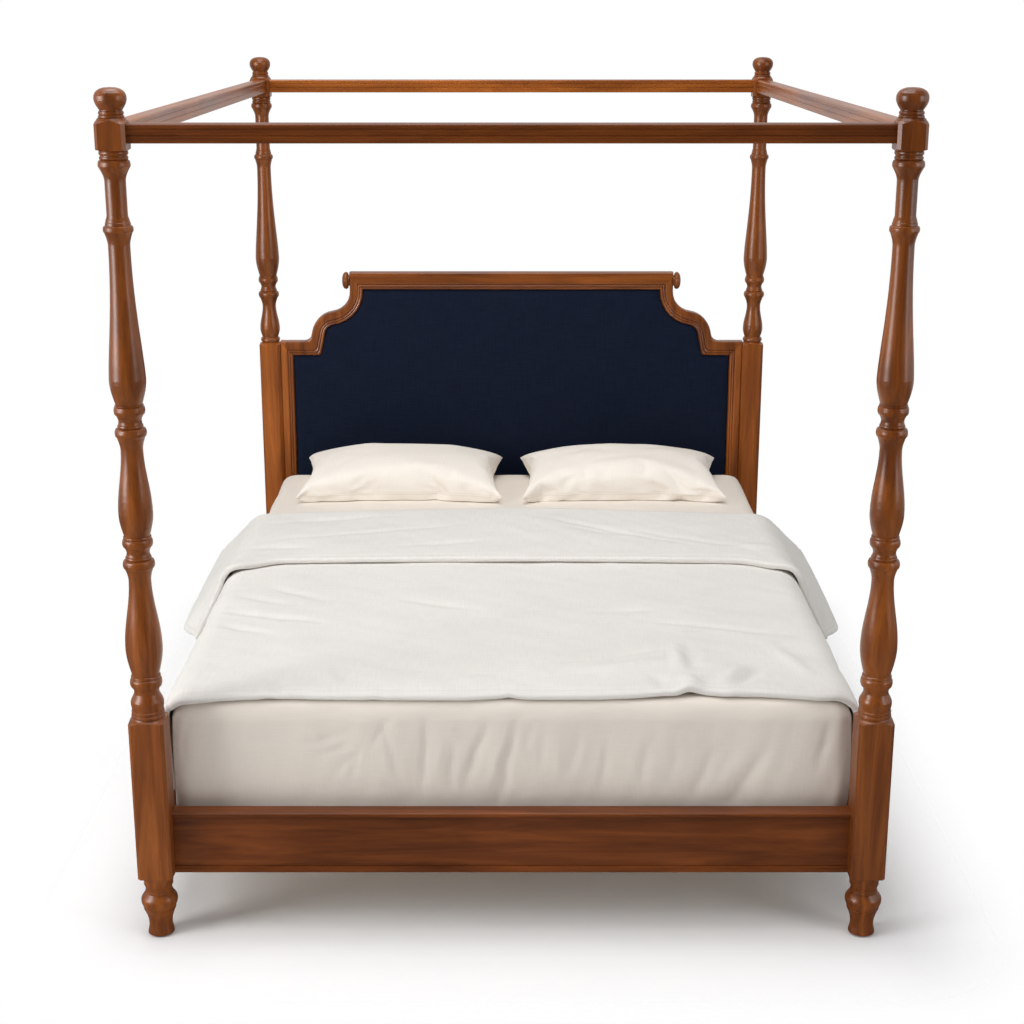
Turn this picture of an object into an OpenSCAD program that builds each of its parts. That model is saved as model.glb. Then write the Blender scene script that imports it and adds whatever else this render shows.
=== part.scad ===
// Poster bed: turned posts, a canopy frame, a scrolled upholstered headboard and made-up bedding.
// Millimetres, +Z up, origin on the floor under the middle of the bed.
// The foot of the bed faces -Y, the headboard stands at +Y.

/* [Mattress] */
// Width of the mattress in its protector and fitted sheet
mattress_w = 1536; // [1370:1:1900]
// Length of the mattress
mattress_l = 2032; // [1900:1:2150]
// Height of the mattress
mattress_t = 277.7; // [220:0.1:320]
// Radius of the mattress's upper edge
mattress_edge_r = 50; // [30:1:60]
// Radius of the mattress's upright corners
mattress_corner_r = 45; // [30:1:110]
// Free space between the mattress and each side rail
mattress_side_gap = 14; // [10:1:40]
// Free space between the mattress and the foot posts
mattress_foot_gap = 5; // [3:1:20]
// Free space between the mattress and the head posts
mattress_head_gap = 50; // [40:1:80]

/* [Posts] */
// Side of the square block of a foot post
foot_block = 78; // [72:1:88]
// Side of the square block of a head post
head_block = 68; // [66:1:84]
// Width of the chamfer on the foot posts' edges
foot_chamfer = 6.5; // [2:0.5:8]
// Width of the chamfer on the head posts' edges
head_chamfer = 9; // [3:0.5:12]
// Height of the underside of the post blocks
block_bottom = 150; // [145:1:160]
// Height of the top of the foot posts' blocks
foot_block_top = 524; // [460:1:600]
// Height of the top of the head posts' blocks
head_block_top = 957; // [930:1:1000]
// Height of the turned shoulder on top of a block
shoulder_rise = 9; // [6:0.5:14]
// Radius of the long plain shaft near the top of a post
shaft_r = 21.5; // [19:0.5:24]
// Largest radius of the ball on a turned foot
foot_ball_r = 41.1; // [36:0.1:44]
// Height of the nylon glide under each foot
glide_h = 3; // [2:0.5:6]
// Radius of the steel stud that joins an upper post to its block
stud_r = 5; // [4:0.5:6]
// Length of the steel stud
stud_l = 80; // [60:2:100]

/* [Canopy] */
// Side of the square canopy block
canopy_block = 62; // [56:1:72]
// Height of the underside of the canopy blocks
canopy_block_bottom = 1757; // [1740:1:1900]
// Height of a canopy block
canopy_block_h = 63; // [58:1:70]
// Height of the turned shoulder on top of a canopy block
canopy_rise = 12; // [8:0.5:14]
// Height of the turned shoulder under a canopy block
canopy_drop = 6; // [3:0.5:9]
// Height of a canopy rail
canopy_rail_h = 39; // [34:1:42]
// Thickness of a canopy rail
canopy_rail_t = 40; // [34:1:44]
// Height of the canopy rails' underside above the canopy blocks' underside
canopy_rail_rise = 14; // [11:0.5:14.5]
// Largest radius of a finial
finial_r = 32.7; // [29:0.1:36]
// Height of a finial above its block
finial_h = 60; // [54:1:72]
// Radius of the peg under a finial
peg_r = 6; // [5:0.5:7]
// Length of the peg under a finial
peg_l = 30; // [20:1:40]

/* [Rails and slats] */
// Thickness of the foot, head and side rail boards
rail_t = 28; // [24:1:34]
// Thickness of the side rail boards
side_rail_t = 36; // [30:1:40]
// Height of the underside of the bed rails
rail_bottom = 150; // [146:1:158]
// Height of the top of the bed rails' caps
rail_top = 298; // [290:1:310]
// Thickness of a rail cap
cap_t = 11; // [9:0.5:14]
// Overhang of a rail cap and of a base moulding on the outer face
cap_overhang = 12; // [8:0.5:14]
// Height of the base moulding
base_mould_h = 14; // [10:1:20]
// Distance from the foot posts' inner face to the foot rail board
foot_rail_setback = 5; // [3:1:8]
// Height of the top of the slats
slat_top = 262; // [255:1:266]
// Thickness of a slat
slat_t = 18; // [15:1:22]
// Width of a slat
slat_w = 70; // [55:1:90]
// Number of slats
slat_count = 14; // [10:1:16]
// Width of the ledger that carries the slats' ends
ledger_w = 24; // [20:1:30]
// Height of the ledger
ledger_h = 36; // [28:1:44]
// Width of the centre beam
beam_w = 60; // [50:1:70]
// Height of the centre beam
beam_h = 58; // [50:1:64]
// Side of a centre leg
leg_side = 44; // [38:1:50]
// Distance between neighbouring centre legs
leg_pitch = 520; // [420:10:600]
// Thickness of the steel fittings
steel_t = 2.5; // [2:0.5:4]

/* [Headboard] */
// Height of the top of the headboard
headboard_top = 1197; // [1150:1:1260]
// Height of the headboard's underside
headboard_bottom = 330; // [310:1:360]
// Height of the top rail's face
top_rail_h = 57; // [54:1:72]
// Width of the scrolled frame and of the stiles
frame_w = 43; // [40:0.5:46]
// Thickness of the headboard frame
frame_t = 36; // [32:1:40]
// Height of the top of the level shoulder
shoulder_top = 968; // [930:1:990]
// Height of the level shoulder's face
shoulder_h = 47; // [45:1:58]
// Distance from the stile's outer edge to the end of the top rail
shoulder_reach = 235; // [220:1:260]
// Radius of the hollow of the scroll, on its outer edge
hollow_r = 70; // [60:1:80]
// Radius of the swell of the scroll, on its outer edge
swell_r = 80; // [72:1:90]
// Radius of the small hollow between the neck and the level shoulder
shoulder_fillet_r = 28; // [12:1:34]
// Radius of a turned roll end
roll_r = 28; // [24:0.5:30]
// Depth of the rebate that holds the back panel
rebate_d = 12; // [8:1:14]
// Width of the rebate that holds the back panel
rebate_w = 8; // [6:0.5:9]
// Crown of the upholstered pad
pad_crown = 7; // [3:0.5:12]

/* [Bedding] */
// Thickness of the duvet
duvet_t = 16; // [14:1:28]
// Distance from the mattress's head to the fold of the duvet
duvet_head_gap = 560; // [440:5:700]
// Length of the part folded back on top
duvet_turnback = 490; // [300:10:700]
// Distance from the mattress's foot to the duvet's front hem
duvet_setback = 22; // [15:1:60]
// Length that hangs down each side of the mattress
duvet_drop = 165; // [100:1:180]
// Angle by which the turned-back part stands away from the mattress's sides
duvet_spread = 38; // [10:1:42]
// Width of a pillow
pillow_w = 650; // [560:5:700]
// Depth of a pillow
pillow_d = 385; // [340:5:440]
// Thickness of a pillow at its crown
pillow_t = 136; // [110:1:170]
// Free space between the two pillows
pillow_gap = 52; // [20:1:100]

/* [Fits] */
// Free play between wooden pieces that slot together
joint_gap = 0.2; // [0.1:0.05:0.4]
// Radial play of a peg or stud in its bore
bore_gap = 0.08; // [0.05:0.01:0.1]
// Free play under and between soft pieces
soft_gap = 0.3; // [0.2:0.1:0.6]

/* [Hidden] */

WOOD = [0.50, 0.27, 0.13];
WOOD_DARK = [0.42, 0.22, 0.11];
PINE = [0.80, 0.66, 0.46];
STEEL = [0.55, 0.56, 0.58];
NYLON = [0.20, 0.18, 0.17];
NAVY = [0.08, 0.11, 0.19];
LINEN = [0.91, 0.90, 0.87];
SHEET = [0.93, 0.90, 0.85];

// Where things stand
post_x = mattress_w / 2 + mattress_side_gap + side_rail_t / 2;
post_run = foot_block / 2 + mattress_foot_gap + mattress_l + mattress_head_gap + head_block / 2;
foot_y = -post_run / 2;
head_y = foot_y + post_run;
foot_inner_y = foot_y + foot_block / 2;
head_inner_y = head_y - head_block / 2;
mattress_foot_y = foot_inner_y + mattress_foot_gap;
mattress_head_y = mattress_foot_y + mattress_l;
mattress_bottom = slat_top + soft_gap;
mattress_top = mattress_bottom + mattress_t;
foot_joint_z = foot_block_top + shoulder_rise;
head_joint_z = head_block_top + shoulder_rise;
canopy_block_top = canopy_block_bottom + canopy_block_h;
canopy_rail_z = canopy_block_bottom + canopy_rail_rise;
turned_fn = 96;

// Turning: a post is a stack of elements from the bottom up.
// Each element is [kind, height, end radius, bulge radius or skew].

// Radius part of an element at the fraction t of its height, from radius r
function element_r(e, r, t) =
    e[0] == "bead" ? r + (e[2] - r) * t + (e[3] - max(r, e[2])) * sin(180 * t) :
    e[0] == "belly" ? r + (e[2] - r) * sin(90 * t) :
    e[0] == "flare" ? r + (e[2] - r) * (1 - cos(90 * t)) :
    e[0] == "sweep" ? r + (e[2] - r) * (1 - cos(180 * pow(t, e[3] == undef ? 1 : e[3]))) / 2 :
    e[0] == "dome" ? e[2] + (r - e[2]) * pow(1 - pow(t, 2.4), 1 / 2.4) :
    r + (e[2] - r) * t;

// Steps along an element: straight ones need one, long curves more
function element_steps(e) = e[0] == "line" ? 1 : e[0] == "bead" ? (e[1] < 9 ? 4 : 6) : e[1] > 100 ? 9 : 6;

// Height fraction of step i: beads and domes are round, so their steps crowd at the ends
function element_t(e, i) =
    let (f = i / element_steps(e))
    e[0] == "bead" ? (1 - cos(180 * f)) / 2 : e[0] == "dome" ? sin(90 * f) : f;

function bead_r(e, r, i) =
    let (f = i / element_steps(e)) r + (e[2] - r) * f + (e[3] - max(r, e[2])) * sin(180 * f);

function element_points(e, r, z) = [
    for (i = [1 : element_steps(e)])
        [e[0] == "bead" ? bead_r(e, r, i) : element_r(e, r, element_t(e, i)), z + e[1] * element_t(e, i)]
];

function stack(elements, r, z, i = 0) =
    i == len(elements) ? [] :
    let (p = element_points(elements[i], r, z), last = p[len(p) - 1])
    concat(p, stack(elements, last[0], last[1], i + 1));

function stack_height(elements, i = 0) =
    i == len(elements) ? 0 : elements[i][1] + stack_height(elements, i + 1);

// Every typed length of the elements, times k
function sized(elements, k) = [
    for (e = elements) [e[0], e[1] * k, e[2] * k, e[0] == "bead" ? e[3] * k : e[3]]
];

// Solid of revolution from a stack of elements standing at z with the radius r. On top it has a short
// core, the given height tall, that joins what stands on it.
module turned(elements, r, z, core = 0) {
    top = z + stack_height(elements);
    rings = stack(elements, r, z);
    core_r = rings[len(rings) - 1][0] * 0.7;
    rotate_extrude($fn = turned_fn)
        polygon(concat(
            [[0, z], [r, z]], rings,
            core > 0 ? [[core_r, top], [core_r, top + core], [0, top + core]] : [[0, top]]
        ));
}

// Two beads with a cove between them, a flared neck below and a thin ring above
function double_bead(flare_h, low_r, cove_r, high_r, end_r, ring_h) = [
    ["flare", flare_h, low_r - 4.2],
    ["line", 1, low_r - 3.5],
    ["bead", 18, low_r - 4.4, low_r],
    ["line", 1.5, low_r - 8],
    ["bead", 7, low_r - 8.8, low_r - 6.4],
    ["sweep", 7.5, cove_r],
    ["flare", 13, high_r - 4],
    ["bead", 18.5, high_r - 3.6, high_r],
    ["line", 1, end_r + 0.8],
    ["bead", ring_h, end_r + 0.6, end_r + 2.6],
    ["line", 0.5, end_r]
];

// Single bead with a small ring above it, as it ends the tall vase
function single_bead(flare_h, bead_radius) = [
    ["flare", flare_h, bead_radius - 3],
    ["line", 1, bead_radius - 2.5],
    ["bead", 13, bead_radius - 3.2, bead_radius],
    ["line", 1, bead_radius - 5.2],
    ["bead", 7, bead_radius - 6.6, bead_radius - 4.6],
    ["sweep", 14, shaft_r / turning_k]
];

// The turnings below are typed at the size they have under a foot ball of 41.1 mm and grow with it
turning_k = foot_ball_r / 41.1;
foot_turning_start_r = 34.4 * turning_k;
foot_turning = concat(
    [
        ["bead", 8, 34.4, 36.6],
        ["line", 1.5, 34],
        ["bead", 7.5, 34.2, 36],
        ["line", 2, 34],
        ["belly", 15, 36.2],
        ["sweep", 26, 27.2],
        ["flare", 10, 31],
        ["bead", 20.5, 31.5, 35.3],
        ["line", 1, 31],
        ["bead", 6.5, 30.5, 32.6],
        ["line", 1, 29.4],
        ["belly", 64, 40.1],
        ["sweep", 152, 24]
    ],
    double_bead(27, 34.7, 24.4, 32.9, 27.6, 5.5),
    [["belly", 49.5, 36.5], ["sweep", 139, 23.5]],
    double_bead(27.5, 33.9, 24.2, 33, 27.8, 2.5),
    [["belly", 53.5, 38.4], ["sweep", 276, 22.4, 0.7]],
    single_bead(27, 31.4)
);

head_turning_start_r = 27.2 * turning_k;
head_turning = concat(
    [
        ["bead", 14, 27.2, 31.7],
        ["line", 3, 26],
        ["belly", 27, 32.3],
        ["sweep", 74, 21.8]
    ],
    double_bead(29.5, 33.8, 23.5, 32, 27.2, 2.5),
    [["belly", 60, 38.2], ["sweep", 289, 22, 0.72]],
    single_bead(28, 30.6)
);

// The bead and rings that close every post under its canopy block
top_turning = [
    ["flare", 28, 31.5],
    ["bead", 14, 29.4, 33.8],
    ["line", 1, 27.4],
    ["bead", 7, 27.4, 29.4],
    ["line", 1.5, 27.2],
    ["line", 1, 28],
    ["bead", 7.5, 28.5, 30],
    ["line", 2, 31]
];

// The plain shaft takes up whatever height the other elements leave
function post_turning(low, joint_z) =
    let (rings = sized(low, turning_k), neck = sized(top_turning, turning_k))
    concat(
        rings,
        [["line", canopy_block_bottom - joint_z - stack_height(rings) - stack_height(neck), shaft_r]],
        neck
    );

foot_base_start_r = 27.6 * turning_k;
foot_base_turning = [
    ["belly", 1.5, 29.5],
    ["sweep", 19, 26.3],
    ["line", 5, 26.3],
    ["flare", 30, 33.3],
    ["line", 3, 34.8],
    ["line", 0.8, 34],
    ["bead", 5, 35, 36.8],
    ["line", 0.8, 35.4],
    ["belly", 18.5, foot_ball_r / turning_k],
    ["flare", 18, 30.8],
    ["line", 1, 29.8],
    ["bead", 5, 29.6, 31],
    ["line", 1, 29.3],
    ["line", 4.5, 29.8],
    ["flare", 8.5, 32.6]
];

// Turned foot that opens out to the radius r where it meets its block
function foot_turning_to(r) =
    let (rings = sized(foot_base_turning, turning_k))
    concat(rings, [["flare", block_bottom + 1 - glide_h - stack_height(rings), r]]);

// Square section with chamfered edges
module chamfered_square(side, chamfer) {
    h = side / 2;
    c = h - chamfer;
    polygon([[h, -c], [h, c], [c, h], [-c, h], [-h, c], [-h, -c], [-c, -h], [c, -h]]);
}

// Square block from z0 to z1 with a turned shoulder on top that ends at the radius r
module shouldered_block(side, chamfer, z0, z1, r) {
    far = side;
    rise = shoulder_rise;
    translate([0, 0, z0]) linear_extrude(z1 - z0) chamfered_square(side, chamfer);
    intersection() {
        translate([0, 0, z1]) linear_extrude(rise) chamfered_square(side, chamfer);
        rotate_extrude($fn = turned_fn)
            polygon([
                [0, z1], [far, z1], [side * 0.6, z1 + rise * 0.12], [side * 0.52, z1 + rise * 0.4],
                [r + 2, z1 + rise * 0.7], [r, z1 + rise], [0, z1 + rise]
            ]);
    }
}

// Stud bore reaching depth below and above a joint
module stud_bore(z) {
    translate([0, 0, z - stud_l / 2 - 1])
        cylinder(r = stud_r + bore_gap, h = stud_l + 2, $fn = 48);
}

tenon_l = 40;
tenon_t = 14;
tenon_inset = 22;
foot_rail_y = foot_inner_y - foot_rail_setback - rail_t;
foot_tenon_y = foot_rail_y + (rail_t - tenon_t) / 2;
head_rail_y = head_inner_y + foot_rail_setback;
head_tenon_y = head_rail_y + (rail_t - tenon_t) / 2;
board_top = rail_top - cap_t;

// Box of a tenon or of its mortise, on the inner side of the post at +X
module rail_tenon(y, block, gap) {
    translate([
        post_x - block / 2 - 0.01,
        y - gap,
        rail_bottom + tenon_inset - gap
    ])
        cube([tenon_l + gap, tenon_t + 2 * gap, board_top - rail_bottom - 2 * tenon_inset + 2 * gap]);
}

hook_w = 22;
hook_h = 110;
hook_reach = 12;
hook_slot_w = 6;
hook_slot_h = 28;
hook_z = (rail_bottom + board_top) / 2;
hook_offset = 30;
hook_grip = 4;

// Hollow in a post's inner end face that takes a catch plate and its two hooks
module catch_pocket(y, dir) {
    translate([post_x, y, hook_z]) {
        translate([-hook_w / 2, dir > 0 ? -steel_t : 0, -hook_h / 2])
            cube([hook_w, steel_t, hook_h]);
        for (s = [-1, 1])
            translate([
                -hook_slot_w / 2 - 1,
                dir > 0 ? -steel_t - hook_reach - 1 : 0,
                s * hook_offset - hook_slot_h / 2 - 1
            ])
                cube([hook_slot_w + 2, hook_reach + steel_t + 1, hook_slot_h + 2]);
    }
}

// Foot post's lower half: turned foot, square block and shoulder, at +X
module foot_post_base() {
    color(WOOD)
    difference() {
        translate([post_x, foot_y, 0]) {
            turned(foot_turning_to(foot_block / 2 - 2), foot_base_start_r, glide_h);
            difference() {
                shouldered_block(foot_block, foot_chamfer, block_bottom, foot_block_top,
                                 foot_turning_start_r);
                stud_bore(foot_joint_z);
            }
        }
        rail_tenon(foot_tenon_y, foot_block, joint_gap);
        catch_pocket(foot_inner_y, 1);
    }
}

// Head post's lower half: turned foot and tall square block, at +X
module head_post_base() {
    color(WOOD)
    difference() {
        translate([post_x, head_y, 0]) {
            turned(foot_turning_to(head_block / 2 - 2), foot_base_start_r, glide_h);
            difference() {
                shouldered_block(head_block, head_chamfer, block_bottom, head_block_top,
                                 head_turning_start_r);
                stud_bore(head_joint_z);
            }
        }
        rail_tenon(head_tenon_y, head_block, joint_gap);
        catch_pocket(head_inner_y, -1);
        headboard_dowel_holes();
    }
}

canopy_tenon_l = 19;
canopy_tenon_t = 15;
canopy_tenon_h = 22;

// Canopy rail tenon box growing inwards from the block face along -X at the origin's height
module canopy_tenon(gap) {
    translate([
        -0.01,
        -canopy_tenon_t / 2 - gap,
        canopy_rail_z + (canopy_rail_h - canopy_tenon_h) / 2 - gap
    ])
        cube([canopy_tenon_l + gap, canopy_tenon_t + 2 * gap, canopy_tenon_h + 2 * gap]);
}

// Upper post with its canopy block, at +X; inward is the side that faces the bed along Y
module upper_post(turning, start_r, joint_z, y, inward) {
    c = canopy_block / 2;
    color(WOOD)
    difference() {
        translate([post_x, y, 0]) {
            difference() {
                turned(post_turning(turning, joint_z), start_r, joint_z, shoulder_rise);
                stud_bore(joint_z);
            }
            intersection() {
                translate([0, 0, canopy_block_bottom])
                    linear_extrude(canopy_block_h) chamfered_square(canopy_block, 7);
                rotate_extrude($fn = turned_fn)
                    polygon([
                        [0, canopy_block_bottom],
                        [c + 0.6, canopy_block_bottom],
                        [c * 1.2, canopy_block_bottom + canopy_drop * 0.2],
                        [c * 1.36, canopy_block_bottom + canopy_drop],
                        [c * 1.36, canopy_block_top - canopy_rise],
                        [c * 1.22, canopy_block_top - canopy_rise * 0.85],
                        [c, canopy_block_top - canopy_rise * 0.4],
                        [c * 0.9, canopy_block_top],
                        [0, canopy_block_top]
                    ]);
            }
        }
        translate([post_x - c, y, 0]) canopy_tenon(joint_gap);
        translate([post_x, y + inward * c, 0]) rotate([0, 0, -inward * 90]) canopy_tenon(joint_gap);
        translate([post_x, y, canopy_block_top - peg_l - 1])
            cylinder(r = peg_r + bore_gap, h = peg_l + 2, $fn = 48);
    }
}

// Finial: two collar rings and a flattened ball, with a peg below
module finial(x, y) {
    k = finial_r / 32.7;
    ball_h = finial_h - 16 * k;
    color(WOOD)
    translate([x, y, 0]) {
        turned(
            concat(
                sized([
                    ["bead", 5.2, 24.8, 26.3], ["line", 0.8, 23.8], ["line", 0.8, 24.2],
                    ["bead", 6.6, 23.9, 25.7], ["line", 0.8, 23.1], ["line", 1.8, 23.2]
                ], k),
                [["belly", ball_h / 2, finial_r], ["dome", ball_h / 2, 1.5]]
            ),
            25 * k, canopy_block_top);
        translate([0, 0, canopy_block_top - peg_l])
            cylinder(r = peg_r, h = peg_l + 1, $fn = 48);
    }
}

// Canopy rail section: two shallow reeds on each upright face and eased upper edges
module canopy_section() {
    t = canopy_rail_t / 2;
    h = canopy_rail_h;
    ease = 3;
    reed = 1.6;
    side = [
        [t - ease, h], [t, h - ease], [t, h * 0.76], [t - reed, h * 0.73], [t - reed, h * 0.70],
        [t - 0.4, h * 0.67], [t - 0.4, h * 0.43], [t - reed, h * 0.40], [t - reed, h * 0.37],
        [t, h * 0.34], [t, 1.5], [t - 1.5, 0]
    ];
    polygon(concat(side, [for (i = [len(side) - 1 : -1 : 0]) [-side[i][0], side[i][1]]]));
}

// Canopy rail of the given clear length along X, centred, with a stub tenon on each end
module canopy_rail(length) {
    translate([-length / 2, 0, canopy_rail_z]) rotate([90, 0, 90]) linear_extrude(length) canopy_section();
    for (s = [0, 1]) mirror([s, 0, 0]) translate([length / 2, 0, 0]) canopy_tenon(0);
}

module canopy_rail_across(y) {
    color(WOOD_DARK) translate([0, y, 0]) canopy_rail(2 * post_x - canopy_block);
}

module canopy_rail_along(x) {
    color(WOOD_DARK)
    translate([x, (foot_y + head_y) / 2, 0])
        rotate([0, 0, 90]) canopy_rail(head_y - foot_y - canopy_block);
}

clear_w = 2 * post_x - foot_block;
head_clear_w = 2 * post_x - head_block;
clear_l = head_inner_y - foot_inner_y;
rail_mid_y = (foot_inner_y + head_inner_y) / 2;

module foot_rail() {
    color(WOOD_DARK) {
        translate([-clear_w / 2, foot_rail_y, rail_bottom]) cube([clear_w, rail_t, board_top - rail_bottom]);
        for (s = [0, 1]) mirror([s, 0, 0]) rail_tenon(foot_tenon_y, foot_block, 0);
    }
}

module head_rail() {
    color(WOOD_DARK) {
        translate([-head_clear_w / 2, head_rail_y, rail_bottom])
            cube([head_clear_w, rail_t, board_top - rail_bottom]);
        for (s = [0, 1]) mirror([s, 0, 0]) rail_tenon(head_tenon_y, head_block, 0);
    }
}

// Cap section: width w from the inner edge at 0, bullnosed on the outer edge
module cap_section(w) {
    n = 8;
    r = cap_t / 2;
    polygon(concat(
        [[0, 0], [w - r, 0]],
        [for (i = [1 : n - 1]) [w - r + r * sin(180 * i / n), r - r * cos(180 * i / n)]],
        [[w - r, cap_t], [0, cap_t]]
    ));
}

// Base moulding section: a small ogee that stands proud of the board it is planted on
module base_section() {
    p = cap_overhang / 2;
    h = base_mould_h;
    polygon([
        [0, 0], [p, 0], [p, h * 0.35], [p * 0.9, h * 0.48], [p * 0.6, h * 0.62], [p * 0.45, h * 0.8],
        [p * 0.45, h], [0, h]
    ]);
}

module foot_rail_cap() {
    color(WOOD)
    translate([-clear_w / 2, foot_rail_y + rail_t, board_top])
        rotate([90, 0, 90]) linear_extrude(clear_w) mirror([1, 0]) cap_section(rail_t + cap_overhang);
}

module foot_rail_moulding() {
    color(WOOD)
    translate([-clear_w / 2, foot_rail_y, rail_bottom])
        rotate([90, 0, 90]) linear_extrude(clear_w) mirror([1, 0]) base_section();
}

side_rail_in = post_x - side_rail_t / 2;
side_rail_out = post_x + side_rail_t / 2;

// Side rail at +X: the board between the posts, with a shallow seat for a hook plate in each end
module side_rail() {
    color(WOOD_DARK)
    difference() {
        translate([side_rail_in, foot_inner_y, rail_bottom])
            cube([side_rail_t, clear_l, board_top - rail_bottom]);
        for (y = [foot_inner_y - 1, head_inner_y - steel_t])
            translate([post_x - hook_w / 2, y, hook_z - hook_h / 2]) cube([hook_w, steel_t + 1, hook_h]);
    }
}

module side_rail_cap() {
    color(WOOD)
    translate([side_rail_in, head_inner_y, board_top])
        rotate([90, 0, 0]) linear_extrude(clear_l) cap_section(side_rail_t + cap_overhang);
}

module side_rail_moulding() {
    color(WOOD)
    translate([side_rail_out, head_inner_y, rail_bottom])
        rotate([90, 0, 0]) linear_extrude(clear_l) base_section();
}

slat_bottom = slat_top - slat_t;

module slat_ledger() {
    color(PINE)
    translate([side_rail_in - ledger_w, foot_inner_y + 12, slat_bottom - ledger_h])
        cube([ledger_w, clear_l - 24, ledger_h]);
}

slat_l = 2 * side_rail_in - 4;
slat_first_y = foot_rail_y + rail_t + 10;
slat_last_y = head_rail_y - 10 - slat_w;

module slats() {
    pitch = (slat_last_y - slat_first_y) / (slat_count - 1);
    color(PINE)
    for (i = [0 : slat_count - 1])
        translate([-slat_l / 2, slat_first_y + i * pitch, slat_bottom]) cube([slat_l, slat_w, slat_t]);
}

beam_foot_y = foot_rail_y + rail_t + steel_t;
beam_head_y = head_rail_y - steel_t;
beam_bottom = slat_bottom - beam_h;
leg_bottom = glide_h;

module centre_beam() {
    color(PINE)
    translate([-beam_w / 2, beam_foot_y + joint_gap, beam_bottom])
        cube([beam_w, beam_head_y - beam_foot_y - 2 * joint_gap, beam_h]);
}

module centre_legs() {
    color(PINE)
    for (i = [-1 : 1])
        translate([-leg_side / 2, rail_mid_y + i * leg_pitch - leg_side / 2, leg_bottom])
            cube([leg_side, leg_side, beam_bottom - leg_bottom]);
}

// U-shaped steel hanger under each end of the centre beam, flat against the rail behind it
module beam_hanger() {
    w = beam_w / 2 + joint_gap + steel_t;
    seat = 45;
    translate([-w, 0, beam_bottom - steel_t]) cube([2 * w, steel_t, beam_h]);
    translate([-w, steel_t - 0.01, beam_bottom - steel_t]) cube([2 * w, seat, steel_t]);
    for (s = [-1, 1])
        translate([s > 0 ? w - steel_t : -w, steel_t - 0.01, beam_bottom - 0.01])
            cube([steel_t, seat, beam_h * 0.7]);
}

module beam_hangers() {
    color(STEEL) {
        translate([0, foot_rail_y + rail_t, 0]) beam_hanger();
        translate([0, head_rail_y, 0]) mirror([0, 1, 0]) beam_hanger();
    }
}

// Hook plate in the end of a side rail: two hooks reach through the catch plate and drop behind it
module hook_plate() {
    translate([-hook_w / 2, 0, -hook_h / 2]) cube([hook_w, steel_t, hook_h]);
    for (s = [-1, 1])
        translate([-hook_slot_w / 2 + 0.5, 0, s * hook_offset]) {
            translate([0, -hook_reach, -6]) cube([hook_slot_w - 1, hook_reach + 0.01, 16]);
            translate([0, -hook_reach, -11]) cube([hook_slot_w - 1, hook_reach - steel_t - 1, 5.01]);
        }
}

module rail_hooks() {
    color(STEEL)
    for (sx = [-1, 1]) {
        translate([sx * post_x, foot_inner_y, hook_z]) hook_plate();
        translate([sx * post_x, head_inner_y, hook_z]) mirror([0, 1, 0]) hook_plate();
    }
}

// Catch plate let flush into a post, with two slots for the hooks
module catch_plate() {
    difference() {
        translate([-hook_w / 2, -steel_t, -hook_h / 2]) cube([hook_w, steel_t, hook_h]);
        for (s = [-1, 1])
            translate([-hook_slot_w / 2, -steel_t - 1, s * hook_offset - 6 - hook_grip])
                cube([hook_slot_w, steel_t + 2, 17 + hook_grip]);
    }
}

module rail_catch_plates() {
    color(STEEL)
    for (sx = [-1, 1]) {
        translate([sx * post_x, foot_inner_y, hook_z]) catch_plate();
        translate([sx * post_x, head_inner_y, hook_z]) mirror([0, 1, 0]) catch_plate();
    }
}

module post_studs() {
    color(STEEL)
    for (sx = [-1, 1]) {
        for (p = [[foot_y, foot_joint_z], [head_y, head_joint_z]])
            translate([sx * post_x, p[0], p[1] - stud_l / 2]) cylinder(r = stud_r, h = stud_l, $fn = 48);
    }
}

// Nylon glides nailed under the four feet and the three centre legs
module foot_glides() {
    color(NYLON) {
        for (sx = [-1, 1])
            for (y = [foot_y, head_y])
                translate([sx * post_x, y, 0]) cylinder(r = 20, h = glide_h, $fn = 48);
        for (i = [-1 : 1])
            translate([0, rail_mid_y + i * leg_pitch, 0]) cylinder(r = 16, h = glide_h, $fn = 48);
    }
}

// Headboard, drawn flat: x across, y up, z out from the back face towards the foot
frame_back_y = head_y + frame_t / 2 - 6;
frame_half_w = post_x - head_block / 2;
hollow_x = frame_half_w - shoulder_reach + hollow_r;
top_under_z = headboard_top - top_rail_h;
hollow_z = top_under_z - 4;
top_mitre_z = top_under_z + frame_w;
top_half_w = frame_half_w - shoulder_reach;
inflexion = 262;
lean = 12;
swell_x = hollow_x + (hollow_r + swell_r) * cos(inflexion);
swell_z = hollow_z + (hollow_r + swell_r) * sin(inflexion);
shoulder_in_z = shoulder_top - shoulder_h;
stile_w = frame_w - 1;

module upright() {
    translate([0, frame_back_y, 0]) rotate([90, 0, 0]) children();
}

// Moulding section across a width w from the outer edge: flat band, cove, two beads, rebate behind
function moulding(w) = [
    [0, 0], [0, frame_t - 5], [1.2, frame_t - 2.2], [4, frame_t - 0.6], [8, frame_t],
    [w - 22, frame_t], [w - 19, frame_t - 1.2], [w - 17.5, frame_t - 4],
    [w - 16.5, frame_t - 4], [w - 15.5, frame_t - 1.6], [w - 13, frame_t - 0.4], [w - 10.5, frame_t - 1.6],
    [w - 9.5, frame_t - 4.6],
    [w - 8.5, frame_t - 2.8], [w - 6, frame_t - 1.8], [w - 3, frame_t - 3], [w - 1, frame_t - 6.4],
    [w, frame_t - 9], [w, rebate_d], [w - rebate_w, rebate_d], [w - rebate_w, 0]
];

// Straight run of moulding of width w: outer edge from p along the angle a, width to the left
module run(p, a, length, w) {
    translate([p[0], p[1], 0]) rotate([0, 0, a])
        rotate([90, 0, 90]) linear_extrude(length) polygon(moulding(w));
}

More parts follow.
